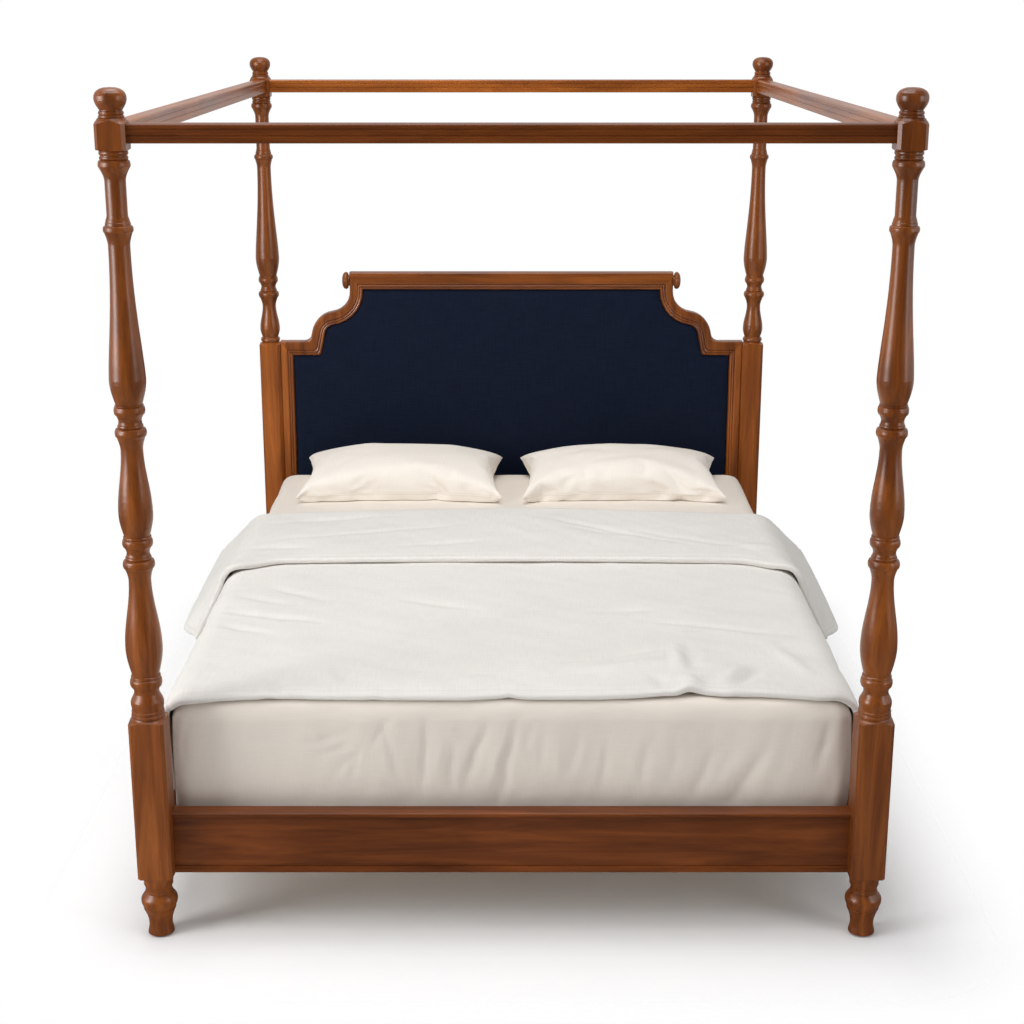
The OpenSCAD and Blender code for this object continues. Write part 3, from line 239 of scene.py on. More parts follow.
def woven_cloth(name, pale, shade, thread, sheen, rough, coarse=1.0, hem_lines=None, gloss=0.25):
    """Plain weave read from the piece's own lengths of cloth: slubs along both threads and a soft nap."""
    cloth = Finish(name)
    lengths = cloth.place("UV")
    warp = cloth.noise(cloth.stretched(lengths, (14.0, 620.0 / coarse, 1.0)), 1.0, 3.0, 0.6)
    weft = cloth.noise(cloth.stretched(lengths, (620.0 / coarse, 14.0, 1.0)), 1.0, 3.0, 0.6)
    threads = cloth.math("ADD", warp, weft)
    clouds = cloth.noise(lengths, 5.0, 3.0, 0.55)
    tone = cloth.ramp(cloth.math("MULTIPLY", threads, 0.5), [(0.36, shade), (0.58, pale)])
    tone = cloth.mix(tone, cloth.ramp(clouds, [(0.3, 0.965), (0.7, 1.0)]), 1.0, "MULTIPLY")
    height = threads
    if hem_lines:
        height, tone = stitched_hems_and_shade(cloth, lengths, height, tone, hem_lines)
    cloth.put(cloth.surface.inputs["Base Color"], tone)
    nap = cloth.ramp(clouds, [(0.3, rough - 0.05), (0.7, rough + 0.05)])
    cloth.put(cloth.surface.inputs["Roughness"], nap)
    cloth.set(Sheen_Weight=sheen, Sheen_Roughness=0.45, Specular_IOR_Level=gloss)
    cloth.put(cloth.surface.inputs["Normal"], cloth.bump(height, thread, 0.0008))
    return cloth.material


def stitched_hems_and_shade(cloth, lengths, height, tone, hem_lines):
    """Sinks a narrow sewn line into the bump at the given distances along the cloth's length or width, and
    darkens the tone along it as painted shade.
    """
    axes = cloth.node("ShaderNodeSeparateXYZ", {"Vector": lengths})
    for axis, at in hem_lines:
        off = cloth.math("ABSOLUTE", cloth.math("SUBTRACT", axes.outputs[axis], at))
        seam_dip_and_shade = cloth.math("SUBTRACT", 1.0, cloth.math("MINIMUM", cloth.math("MULTIPLY", off, 450.0), 1.0))
        height = cloth.math("SUBTRACT", height, cloth.math("MULTIPLY", seam_dip_and_shade, 2.0))
        # Painted shade: the tone darkens along the sewn line.
        tone = cloth.mix(tone, cloth.mix(tone, (0.88, 0.87, 0.85, 1.0), 1.0, "MULTIPLY"), seam_dip_and_shade)
    return height, tone


# Making meshes

def grid_quads(rows, columns, wrap_rows=False, wrap_columns=False):
    """Quads between neighbours of a grid whose points are numbered row by row."""
    i = np.arange(rows if wrap_rows else rows - 1)
    j = np.arange(columns if wrap_columns else columns - 1)
    a, b = (m.ravel() for m in np.meshgrid(i, j, indexing="ij"))
    c, d = (a + 1) % rows, (b + 1) % columns
    return np.stack([a * columns + b, c * columns + b, c * columns + d, a * columns + d], axis=1)


def new_piece(name, points, faces, material, lengths=None):
    """Mesh object at the origin; lengths gives each point's place on the flat cloth as its UV."""
    mesh = bpy.data.meshes.new(name)
    mesh.from_pydata(points.tolist(), [], faces if isinstance(faces, list) else faces.tolist())
    mesh.polygons.foreach_set("use_smooth", np.ones(len(mesh.polygons), dtype=bool))
    if lengths is not None:
        corner = np.empty(len(mesh.loops), dtype=np.int32)
        mesh.loops.foreach_get("vertex_index", corner)
        layer = mesh.uv_layers.new(name="cloth")
        layer.data.foreach_set("uv", lengths[corner].astype(np.float32).ravel())
    mesh.materials.append(material)
    mesh.update()
    piece = bpy.data.objects.new(name, mesh)
    bpy.context.scene.collection.objects.link(piece)
    return piece


def waves(u, v, seed, count, shortest, longest, slant=1.0):
    """Sum of sine waves with random directions and lengths, scaled to a height of about 1.
    slant below 1 turns the crests towards the u axis."""
    draw = np.random.default_rng(seed)
    total = np.zeros_like(u)
    for _ in range(count):
        length = draw.uniform(shortest, longest)
        angle = np.pi / 2 + draw.uniform(-1, 1) * np.pi / 2 * slant
        total += np.sin(2 * np.pi * (u * np.cos(angle) + v * np.sin(angle)) / length + draw.uniform(0, 6.28))
    return total / np.sqrt(count)


def ease(x, low, high):
    """0 below low, 1 above high, and a smooth step between them."""
    t = np.clip((x - low) / (high - low), 0, 1)
    return t * t * (3 - 2 * t)


def two_layers(rows, columns):
    """Two equal grids sewn along their border: a mask of the inner points, the quads of the first layer
    and those of the second, whose inner points are numbered after all the points of the first."""
    number = np.arange(rows * columns).reshape(rows, columns)
    inside = np.zeros((rows, columns), dtype=bool)
    inside[1:-1, 1:-1] = True
    below = number.copy()
    below[inside] = rows * columns + np.arange(inside.sum())
    quads = grid_quads(rows, columns)
    return inside, quads, below.ravel()[quads]


def creases(u, v, lines):
    """Soft ridges along slightly wandering lines: each is u0, v0, u1, v1, half width and height, and
    swells and fades like half a sine along its length."""
    wander = 0.003 * waves(u, v, 77, 8, 0.05, 0.16)
    total = np.zeros_like(u)
    for u0, v0, u1, v1, width, height in lines:
        along = np.array([u1 - u0, v1 - v0])
        reach = float(np.hypot(*along))
        along = along / reach
        t = ((u - u0) * along[0] + (v - v0) * along[1]) / reach
        off = (v - v0) * along[0] - (u - u0) * along[1] + wander
        fade = np.sin(np.pi * np.clip((t + 0.15) / 1.3, 0, 1)) ** 1.5
        total += height * fade * np.exp(-(off / width) ** 2)
    return total


# Headboard pad

# The frame round the pad: half width, top, width of its strip, height of the top rail, how much shorter
# that rail is at each end, the hollow and the swell of the scroll, the neck's lean and the shoulder
FRAME_HALF = 0.766
HEADBOARD_TOP = 1.197
STRIP = 0.043
RAIL_TALL = 0.057
RAIL_SHORTER = 0.235
HOLLOW_RADIUS = 0.070
HOLLOW_END = 262
SWELL_RADIUS = 0.080
CENTRES_APART = 0.150
NECK_LEAN = 12
SHOULDER = 0.968 - 0.047
FILLET = 0.009


def pad_outline():
    """Half of the pad's upper edge from the middle outwards: the inner edge of the scrolled frame, a
    hollow, a swell, a leaning neck, a small fillet and a level shoulder, as points of x and z."""
    def arc(centre, radius, start, end, steps):
        a = np.radians(np.linspace(start, end, steps))
        return np.stack([centre[0] + radius * np.cos(a), centre[1] + radius * np.sin(a)], axis=1)

    hollow = np.array([FRAME_HALF - RAIL_SHORTER + HOLLOW_RADIUS, HEADBOARD_TOP - RAIL_TALL - 0.004])
    turn = np.radians(HOLLOW_END)
    swell = hollow + CENTRES_APART * np.array([np.cos(turn), np.sin(turn)])
    lean = np.radians(NECK_LEAN)
    neck = swell + (SWELL_RADIUS - STRIP) * np.array([np.cos(lean), np.sin(lean)])
    foot = np.array([neck[0] + (neck[1] - SHOULDER) * np.tan(lean), SHOULDER])
    corner = foot + np.array([FILLET / np.tan(np.pi / 4 + lean / 2), FILLET])
    top = HEADBOARD_TOP - RAIL_TALL
    return np.concatenate([
        [[0.0, top], [FRAME_HALF - RAIL_SHORTER - STRIP, top]],
        arc(hollow, HOLLOW_RADIUS + STRIP, 180, HOLLOW_END, 18),
        arc(swell, SWELL_RADIUS - STRIP, HOLLOW_END - 180, NECK_LEAN, 12),
        arc(corner, FILLET, NECK_LEAN + 180, 270, 6),
        [[FRAME_HALF - STRIP + 0.001, SHOULDER]],
    ])


def headboard_pad():
    """Upholstered pad: upright columns between the level lower edge and the outline. Its depth rises
    quickly from the outline with the distance to it, then slowly to the middle."""
    outline = pad_outline()
    low, right = PAD_LOW.z, FRAME_HALF - STRIP + 0.0005
    xs = np.unique(np.concatenate([
        np.linspace(0, right, 90), outline[:, 0], right - np.array([0.0, 0.001, 0.003, 0.006, 0.011, 0.018]),
    ]))
    xs = xs[xs <= right]
    xs = xs[np.concatenate([[True], np.diff(xs) > 0.0008])]
    top = np.interp(xs, outline[:, 0], outline[:, 1]) - 0.0005
    xs, top = np.concatenate([-xs[:0:-1], xs]), np.concatenate([top[:0:-1], top])
    up = np.concatenate([[0, 0.001, 0.003, 0.007, 0.013, 0.02], np.linspace(0.03, 0.97, 68)])
    up = np.concatenate([up, 1 - up[5::-1]])
    x = np.repeat(xs[:, None], len(up), axis=1)
    z = low + (top - low)[:, None] * up[None, :]

    line = np.concatenate([outline, [[right, low], [0, low]]])
    a, b = line[:-1], line[1:]
    p = np.stack([np.abs(x).ravel(), z.ravel()], axis=1)
    span = b - a
    t = np.clip(((p[:, None, :] - a) * span).sum(2) / np.maximum((span ** 2).sum(1), 1e-12), 0, 1)
    off = np.sqrt((((a + t[..., None] * span) - p[:, None, :]) ** 2).sum(2)).min(1).reshape(x.shape)

    full = PAD_HIGH.y - PAD_LOW.y
    depth = full * (0.55 + 0.45 * (1 - np.exp(-off / 0.009)))
    depth += 0.006 * ease(off, 0.0, 0.22) + 0.0005 * waves(x, z, 5, 9, 0.12, 0.4) * ease(off, 0.01, 0.06)
    front = np.stack([x, PAD_HIGH.y - depth, z], axis=-1)
    back = np.stack([x, np.full_like(x, PAD_HIGH.y), z], axis=-1)
    rows, columns = x.shape
    border_rows = np.concatenate([
        np.arange(rows), np.full(columns - 2, rows - 1), np.arange(rows)[::-1], np.zeros(columns - 2, int)])
    border_columns = np.concatenate([
        np.zeros(rows, int), np.arange(1, columns - 1),
        np.full(rows, columns - 1), np.arange(1, columns - 1)[::-1]])
    front_number = border_rows * columns + border_columns
    back_points = back[border_rows, border_columns]
    m = len(front_number)
    back_number = rows * columns + np.arange(m)
    nxt = (np.arange(m) + 1) % m
    wall = np.stack([front_number, front_number[nxt], back_number[nxt], back_number], axis=1)
    faces = grid_quads(rows, columns).tolist() + wall[:, ::-1].tolist() + [back_number[::-1].tolist()]
    points = np.concatenate([front.reshape(-1, 3), back_points])
    lengths = points[:, [0, 2]]
    return new_piece("headboard_cushion", points, faces, navy, lengths)


navy = woven_cloth("navy_weave", paint(19, 28, 48), paint(13, 20, 37), 0.2, 0.02, 0.88,
                   coarse=1.6, gloss=0.10)
pad = headboard_pad()
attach(pad, "frame")
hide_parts("headboard_pad")


# Mattress with its fitted sheet

CORNER_STEPS = 14
CORNER_RADIUS = 0.042


def rounded_ring(half_x, half_y, radius, steps):
    """Points at even shares of a rectangle with round corners, counter-clockwise, and their arc length."""
    edge_x, edge_y, quarter = half_x - radius, half_y - radius, radius * np.pi / 2
    spans = np.array([2 * edge_y, quarter, 2 * edge_x, quarter, 2 * edge_y, quarter, 2 * edge_x, quarter])
    x, y = [], []
    corners = [(edge_x, edge_y, 0), (-edge_x, edge_y, 90), (-edge_x, -edge_y, 180), (edge_x, -edge_y, 270)]
    starts = [(half_x, -edge_y), (edge_x, half_y), (-half_x, edge_y), (-edge_x, -half_y)]
    ends = [(half_x, edge_y), (-edge_x, half_y), (-half_x, -edge_y), (edge_x, -half_y)]
    for (cx, cy, turn), start, end, count in zip(corners, starts, ends, steps):
        t = np.arange(count) / count
        x.append(start[0] + (end[0] - start[0]) * t)
        y.append(start[1] + (end[1] - start[1]) * t)
        a = np.radians(turn + 90 * np.arange(CORNER_STEPS) / CORNER_STEPS)
        x.append(cx + radius * np.cos(a))
        y.append(cy + radius * np.sin(a))
    return np.concatenate(x), np.concatenate(y), spans.sum()


# Folds of the sheet on the mattress's foot end: x, z of both ends, half width and height in metres
FOOT_FOLDS = (
    (-0.190, 0.505, -0.201, 0.330, 0.0075, -0.0040), (-0.290, 0.505, -0.245, 0.340, 0.0083, -0.0026),
    (-0.262, 0.515, -0.325, 0.425, 0.0075, -0.0024), (-0.130, 0.450, -0.137, 0.330, 0.0075, -0.0030),
    (-0.052, 0.495, -0.104, 0.345, 0.0105, -0.0048), (0.010, 0.500, -0.026, 0.300, 0.0097, -0.0046),
    (0.047, 0.495, 0.031, 0.420, 0.0075, -0.0024), (0.080, 0.480, 0.064, 0.380, 0.0083, -0.0022),
    (0.158, 0.465, 0.130, 0.370, 0.0090, -0.0024), (0.216, 0.460, 0.203, 0.330, 0.0090, -0.0030),
    (0.307, 0.450, 0.295, 0.350, 0.0090, -0.0022), (0.370, 0.450, 0.356, 0.360, 0.0090, -0.0018),
    (0.467, 0.440, 0.415, 0.315, 0.0120, -0.0032), (0.580, 0.440, 0.492, 0.295, 0.0135, -0.0042),
    (-0.480, 0.444, -0.350, 0.472, 0.0067, -0.0020), (-0.445, 0.410, -0.346, 0.445, 0.0067, -0.0022),
    (-0.400, 0.365, -0.332, 0.436, 0.0075, -0.0022), (-0.340, 0.435, -0.369, 0.345, 0.0083, -0.0022),
    (0.715, 0.495, 0.688, 0.385, 0.0090, -0.0030), (-0.722, 0.515, -0.740, 0.385, 0.0105, -0.0030),
    (-0.160, 0.470, -0.168, 0.360, 0.0090, 0.0020), (-0.015, 0.460, -0.062, 0.320, 0.0105, 0.0022),
    (0.110, 0.450, 0.098, 0.340, 0.0105, 0.0016), (0.530, 0.430, 0.450, 0.300, 0.0135, 0.0020),
)

FOLD_DEPTH = 1.25


def mattress_with_sheet():
    """Rings of a rounded rectangle from the middle of the underside, up the sides and over the rounded
    upper edge to the middle of the top. Soft folds push the cloth in and out along the normal."""
    low, high = MATTRESS_LOW, MATTRESS_HIGH
    half = (high - low) / 2
    middle = (high + low) / 2
    tall = MATTRESS_TOP - low.z
    edge, foot = MATTRESS_EDGE, 0.014
    under = [(half.x * s, 0.0) for s in (0.985, 0.8, 0.5, 0.25)] + [(0.06, 0.0), (0.03, 0.0)]
    bend = [(foot - foot * np.sin(a), foot - foot * np.cos(a)) for a in np.radians([0, 22, 45, 68])]
    side = [(0.003 * ((h - foot) / (tall - edge - foot) * 2 - 1) ** 2, h)
            for h in np.linspace(foot, tall - edge, 30)]
    over = [(0.003 + (edge - 0.003) * (1 - np.cos(a)), tall - edge + edge * np.sin(a))
            for a in np.radians(np.linspace(6, 90, 15))]
    top = [(s, tall) for s in np.concatenate([np.linspace(0.07, 0.5, 26), [0.6, 0.68, 0.74, 0.757]])]
    profile = np.array(under + bend + side + over + top)
    count_x, count_y = 200, 150
    points, lengths = [], []
    path = np.concatenate([[0], np.cumsum(np.hypot(*np.diff(profile, axis=0).T))])
    for (inset, height), run in zip(profile, path):
        radius = max(CORNER_RADIUS - inset * 0.4, 0.004)
        x, y, around = rounded_ring(half.x - inset, half.y - inset, min(radius, half.x - inset - 0.001),
                                    (count_y, count_x, count_y, count_x))
        points.append(np.stack([x + middle.x, y + middle.y, np.full_like(x, low.z + height)], axis=1))
        along = np.linspace(0, around, len(x), endpoint=False)
        lengths.append(np.stack([along, np.full_like(x, run)], axis=1))
    grid = np.array(points)
    rows, columns = grid.shape[:2]

    # The folds of the sheet, pushed in along the grid's own normals
    du = np.roll(grid, -1, axis=1) - np.roll(grid, 1, axis=1)
    dv = np.gradient(grid, axis=0)
    normal = np.cross(du, dv)
    normal /= np.maximum(np.linalg.norm(normal, axis=2, keepdims=True), 1e-9)
    x, y, z = grid[..., 0], grid[..., 1], grid[..., 2]
    rise = (z - low.z) / tall
    upright = (1 - ease(rise, 0.88, 1.0)) * ease(rise, 0.02, 0.15)
    flat_top = ease(rise, 0.97, 1.0)
    depth = -0.0016 * (waves(x - y * 0.9, z * 0.30 + x * 0.2, 3, 14, 0.10, 0.40) + 1.2) * upright
    depth += -0.0005 * (waves(x + (1 - rise) * 0.10 + y, z * 0.1, 8, 10, 0.035, 0.12) + 1.0) * upright
    depth += -0.0008 * (waves(x, y, 12, 12, 0.12, 0.5) + 1.3) * flat_top
    at_foot = 1 - ease(y, low.y + 0.03, low.y + 0.09)
    at_head = ease(y, high.y - 0.09, high.y - 0.03)
    folds = creases(x, z, FOOT_FOLDS) * at_foot + creases(-x, z, FOOT_FOLDS) * at_head
    depth += FOLD_DEPTH * folds * upright
    grid = grid + normal * np.minimum(depth, 0.002)[..., None]
    # The corners at the foot stand a little wider
    grid[..., 0] += np.sign(x) * 0.004 * ease(np.abs(x), 0.68, 0.76) * (1 - ease(y, -0.985, -0.935))

    points = grid.reshape(-1, 3)
    faces = grid_quads(rows, columns, wrap_columns=True)[:, ::-1].tolist()
    faces.append(np.arange(columns)[::-1].tolist())
    faces.append(((rows - 1) * columns + np.arange(columns)).tolist())
    return new_piece("mattress_in_sheet", points, faces, sheet_cloth, np.array(lengths).reshape(-1, 2))


sheet_cloth = woven_cloth("fitted_sheet_cotton", paint(236, 227, 216), paint(230, 220, 209), 0.08, 0.06, 0.8)
mattress = mattress_with_sheet()
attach(mattress, "mattress")
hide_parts("mattress")


# Duvet

# Places along the bed of the front hem and the fold, length turned back, thickness, the fold's radius,
# height of the lower layer's middle, half the width, and the degrees the sides spread at the fold
DUVET_FRONT = -1.014
DUVET_FOLD = 0.436
DUVET_TURN = 0.497
DUVET_T = 0.016
FOLD_R = 0.0090
LOW_LIFT = DUVET_T / 2 + 0.0012
DUVET_HALF = 1.024
SPREAD = 44.7
# Half the width that lies flat on the mattress, and the length of the bend to the turned-back hem
FLAT_HALF = 0.718
HEM_RUN = 0.10
DUVET_LENGTH = DUVET_FOLD - DUVET_FRONT + np.pi * FOLD_R + DUVET_TURN
# Hems lie this far in from the edge; the other side's lengths of cloth start this far on
HEM = 0.022
OTHER_SIDE = 2.5

# Creases on the cloth: a, s of both ends, half width and height in metres
LOWER_CREASES = (
    (-0.745, 0.565, -0.480, 0.480, 0.014, -0.0034), (-0.650, 0.770, -0.480, 0.640, 0.016, -0.0026),
    (-0.715, 0.455, -0.590, 0.390, 0.014, -0.0030), (-0.700, 0.680, -0.570, 0.605, 0.015, -0.0022),
    (0.100, 0.188, 0.385, 0.314, 0.014, -0.0060), (0.150, 0.135, 0.400, 0.215, 0.026, 0.0050),
    (0.392, 0.320, 0.394, 0.140, 0.014, 0.0040), (0.420, 0.300, 0.425, 0.150, 0.014, -0.0030),
    (0.200, 0.548, 0.400, 0.574, 0.020, -0.0022), (0.340, 0.488, 0.680, 0.385, 0.014, -0.0026),
    (-0.290, 0.652, -0.075, 0.560, 0.018, -0.0024), (-0.010, 0.520, 0.065, 0.605, 0.018, -0.0020),
    (-0.120, 0.050, -0.050, 0.110, 0.020, 0.0030), (0.462, 0.050, 0.545, 0.165, 0.018, 0.0050),
    (0.500, 0.040, 0.580, 0.150, 0.014, -0.0040), (0.410, 0.000, 0.405, 0.120, 0.020, 0.0060),
    (0.345, 0.020, 0.330, 0.130, 0.016, -0.0030), (-0.540, 0.000, -0.520, 0.110, 0.018, -0.0030),
    (-0.400, 0.040, -0.440, 0.160, 0.018, 0.0024), (0.690, 0.100, 0.620, 0.330, 0.018, 0.0030),
)
CUFF_CREASES = (
    (-0.690, 0.292, -0.160, 0.172, 0.016, -0.0024), (0.110, 0.098, 0.500, 0.352, 0.016, -0.0036),
    (0.160, 0.180, 0.330, 0.268, 0.014, -0.0024), (-0.690, 0.098, -0.340, 0.054, 0.016, -0.0020),
    (-0.345, 0.392, -0.040, 0.330, 0.018, -0.0018), (0.300, 0.185, 0.670, 0.392, 0.018, -0.0024),
    (-0.760, 0.330, -0.560, 0.395, 0.018, -0.0030), (0.610, 0.390, 0.760, 0.300, 0.018, 0.0026),
)
CREASE_DEPTH = 2.0
# The front hem's wandering: places across the width and how far back the hem lies there
HEM_X = np.array([
    -0.72, -0.66, -0.61, -0.58, -0.54, -0.51, -0.477, -0.44, -0.30, -0.10, -0.03, 0.0,
    0.04, 0.20, 0.27, 0.31, 0.37, 0.40, 0.43, 0.45, 0.49, 0.53, 0.56, 0.62, 0.69,
])
HEM_Y = np.array([
    -0.010, -0.002, 0.002, 0.003, 0.004, 0.006, 0.006, 0.004, 0.002, 0.001, 0.006, 0.008,
    0.003, 0.004, 0.008, 0.012, 0.014, 0.022, 0.024, 0.020, 0.012, 0.014, 0.014, 0.008, 0.0,
])
# Places where the front hem lifts off the sheet: across the width, half width and height
HEM_LIFTS = ((0.400, 0.022, 0.009), (-0.545, 0.018, 0.003), (-0.008, 0.014, 0.003), (0.345, 0.030, 0.003),
             (0.500, 0.018, 0.0025), (-0.310, 0.016, 0.002))


def duvet_middle(s, a):
    """Point of the duvet's middle surface. s is the length from the front hem, over the fold by the
    pillows and back to the turned-back hem; a is the width from the middle line. Across the width the
    cloth lies flat, turns down over the mattress's edge through an angle and hangs straight from there."""
    lower = DUVET_FOLD - DUVET_FRONT
    round_fold = np.pi * FOLD_R
    t = np.clip((s - lower) / round_fold, 0, 1)
    back = np.maximum(s - lower - round_fold, 0)
    y = np.where(s <= lower, DUVET_FRONT + s, DUVET_FOLD + FOLD_R * np.sin(np.pi * t) - back)
    lift = LOW_LIFT + FOLD_R * (1 - np.cos(np.pi * t))
    upper = ease(t, 0.3, 0.7)

    side = np.abs(a)
    near = np.clip((DUVET_FOLD - y) / DUVET_TURN, 0, 1)
    share_low = 1 - np.sin(np.pi / 2 * near) ** 1.2
    share_up = 1 - 0.235 * near
    share = share_low * (1 - upper) + share_up * upper
    at_hem = ease(back, DUVET_TURN - HEM_RUN, DUVET_TURN)
    hem_turn = upper * 9 * at_hem
    turned = np.radians(90 - SPREAD * share + hem_turn + 3 * (1 - share) * (1 - upper))
    away = 0.0035 + 0.001 * (1 - ease(y, -0.93, -0.86)) - 0.0025 * (1 - ease(y, -1.01, -0.97))
    start = FLAT_HALF + away * (1 - upper) - 0.002 * upper
    radius = MATTRESS_EDGE + lift
    bend = radius * turned
    phi = np.clip((side - start) / radius, 0, turned)
    radius = radius + (0.0006 + 0.00008 * SPREAD * share) * phi / turned
    radius = radius + 0.011 * upper * at_hem * np.exp(-((side - 0.762) / 0.034) ** 2)
    short_up = 0.110 * (1 - near) ** 1.2 + 0.045 * at_hem
    short_low = 0.042 + 0.068 * (1 - near) ** 3
    short = short_low * (1 - upper) + short_up * upper
    down = np.maximum(side - start - bend, 0)
    down = down * (1 - short / (DUVET_HALF - start - bend))
    x = np.where(side < start, side, start + radius * np.sin(phi) + down * np.cos(turned))
    z = MATTRESS_TOP - MATTRESS_EDGE + radius * np.cos(phi) - down * np.sin(turned)

    to_fold = ease(y, DUVET_FOLD - DUVET_TURN, DUVET_FOLD)
    hem_bow = 0.022 * (np.minimum(side, FLAT_HALF) / FLAT_HALF) ** 2 + 0.064 * ease(side, 0.618, 0.768)
    fold_bow = 0.066 * np.minimum(side, FLAT_HALF) / FLAT_HALF
    bowed = (hem_bow * (1 - to_fold) + fold_bow * to_fold) * ease(y, -0.454, -0.114)
    corner = 0.006 * ease(side, 0.700, 0.828) * np.clip(1 - s / 0.30, 0, 1)
    wavy = np.interp(a, HEM_X, HEM_Y) * (1 - ease(s, 0.0, 0.14))
    y = y + corner - bowed + wavy
    over = np.clip(-0.982 - y, 0, 1) * (1 - upper) * (side < 0.77)
    z = z - over ** 2 * 7.0
    for at, width, height in HEM_LIFTS:
        z = z + height * np.exp(-((a - at) / width) ** 2) * (1 - ease(s, 0.0, 0.09))
    return np.stack([x * np.sign(a), y, z], axis=-1)


def duvet_shape():
    """Closed quilt round the middle surface: full inside, rounded at the hems, with soft creases."""
    lower = DUVET_FOLD - DUVET_FRONT
    hem = np.array([0, 0.0012, 0.003, 0.006, 0.011])
    s = np.concatenate([hem, np.linspace(0.018, DUVET_LENGTH - 0.018, 244), DUVET_LENGTH - hem[::-1]])
    a = np.concatenate([hem, np.linspace(0.018, 2 * DUVET_HALF - 0.018, 186), 2 * DUVET_HALF - hem[::-1]])
    s, a = np.meshgrid(s, a - DUVET_HALF, indexing="ij")
    middle = duvet_middle(s, a)
    normal = np.cross(np.gradient(middle, axis=0), np.gradient(middle, axis=1))
    normal /= -np.maximum(np.linalg.norm(normal, axis=2, keepdims=True), 1e-12)
    edge = np.minimum(np.minimum(s, DUVET_LENGTH - s), DUVET_HALF - np.abs(a))
    rounded = np.sqrt(np.clip(1 - (1 - np.clip(edge / 0.008, 0, 1)) ** 2, 0, 1))
    seam = 1 - 0.30 * np.exp(-((edge - 0.026) / 0.004) ** 2)
    puff = 1 + 0.10 * waves(a, s, 21, 10, 0.25, 0.7)
    fade = ease(edge, 0.0, 0.03)
    shown = 0.0008 * waves(a, s, 31, 16, 0.09, 0.35, slant=0.6) * fade
    shown += 0.0004 * waves(a, s, 37, 16, 0.05, 0.16, slant=0.8) * fade
    turned_over = ease(s, lower - 0.03, lower + 0.03)
    below_cuff = ease(s, 0.98, 1.06)
    on_top = (shown + CREASE_DEPTH * creases(a, s, LOWER_CREASES)) * (1 - below_cuff)
    on_cuff = (shown + CREASE_DEPTH * creases(a, s - lower - np.pi * FOLD_R, CUFF_CREASES)) * turned_over
    half = DUVET_T / 2 * rounded * seam * puff
    top = middle + normal * (half + on_top)[..., None]
    bottom = middle - normal * (half + on_cuff)[..., None]

    inside, quads, quads_below = two_layers(*s.shape)
    faces = np.concatenate([quads[:, ::-1], quads_below])
    points = np.concatenate([top.reshape(-1, 3), bottom[inside]])
    lengths = np.stack([a + DUVET_HALF, s], axis=-1)
    lengths = np.concatenate([lengths.reshape(-1, 2), lengths[inside] + [OTHER_SIDE, 0.0]])
    return new_piece("folded_duvet", points, faces, duvet_linen, lengths)


DUVET_STITCHES = (
    (1, HEM), (1, DUVET_LENGTH - HEM), (0, HEM), (0, 2 * DUVET_HALF - HEM),
    (0, OTHER_SIDE + HEM), (0, OTHER_SIDE + 2 * DUVET_HALF - HEM),
)
duvet_linen = woven_cloth("duvet_linen", paint(236, 233, 228), paint(226, 222, 216), 0.28, 0.08, 0.82,
                          coarse=1.3, hem_lines=DUVET_STITCHES)
duvet = duvet_shape()
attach(duvet, "duvet")
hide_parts("duvet")


# Pillows

# Half sizes of the flat case, the frames of its simulation and its half height when that starts
CASE_X, CASE_Y = 0.350, 0.235
CASE_FRAMES = 17
CASE_START = 0.020
# The pillow's height, the seam's share of it, the crown above the seam and its lean along the bed
PILLOW_TALL = 0.136
SEAM_SHARE = 0.27
PILLOW_CROWN = 0.086
PILLOW_LEAN = 0.085

# Creases on the upper layer: x, y of both ends from the pillow's middle, half width and height in metres
PILLOW_CREASES = {
    "pillow_left": (
        (-0.095, -0.200, -0.080, -0.110, 0.010, -0.0040), (0.165, -0.200, 0.155, -0.100, 0.010, -0.0060),
        (0.190, -0.200, 0.182, -0.110, 0.012, 0.0030), (-0.230, -0.110, -0.160, -0.020, 0.014, -0.0034),
        (0.300, -0.080, 0.285, 0.100, 0.010, -0.0050), (0.262, -0.040, 0.230, 0.100, 0.014, -0.0030),
    ),
    "pillow_right": (
        (-0.150, -0.200, -0.100, -0.060, 0.012, -0.0060), (-0.115, -0.190, -0.075, -0.080, 0.014, 0.0030),
        (0.235, -0.200, 0.225, -0.110, 0.012, -0.0036), (-0.245, -0.020, -0.200, 0.080, 0.014, -0.0034),
        (0.290, -0.090, 0.275, 0.080, 0.010, -0.0036), (0.060, -0.190, 0.070, -0.120, 0.012, -0.0024),
    ),
}


def blown_up(points, faces):
    """Cloth with pressure inside and no gravity, run for some frames; gives the moved points."""
    mesh = bpy.data.meshes.new("case")
    mesh.from_pydata(points.tolist(), [], faces.tolist())
    mesh.update()
    case = bpy.data.objects.new("case", mesh)
    scene = bpy.context.scene
    scene.collection.objects.link(case)
    cloth = case.modifiers.new("cloth", "CLOTH")
    cloth.settings.quality = 6
    cloth.settings.mass = 0.3
    cloth.settings.tension_stiffness = 15
    cloth.settings.compression_stiffness = 15
    cloth.settings.shear_stiffness = 5
    cloth.settings.bending_stiffness = 0.5
    cloth.settings.use_pressure = True
    cloth.settings.uniform_pressure_force = 2.0
    cloth.settings.effector_weights.gravity = 0.0
    cloth.collision_settings.use_collision = False
    cloth.collision_settings.use_self_collision = False
    for number in range(1, CASE_FRAMES + 1):
        scene.frame_set(number)
    moved = case.evaluated_get(bpy.context.evaluated_depsgraph_get()).to_mesh()
    result = np.empty(len(moved.vertices) * 3)
    moved.vertices.foreach_get("co", result)
    bpy.data.objects.remove(case)
    scene.frame_set(1)
    return result.reshape(-1, 3)


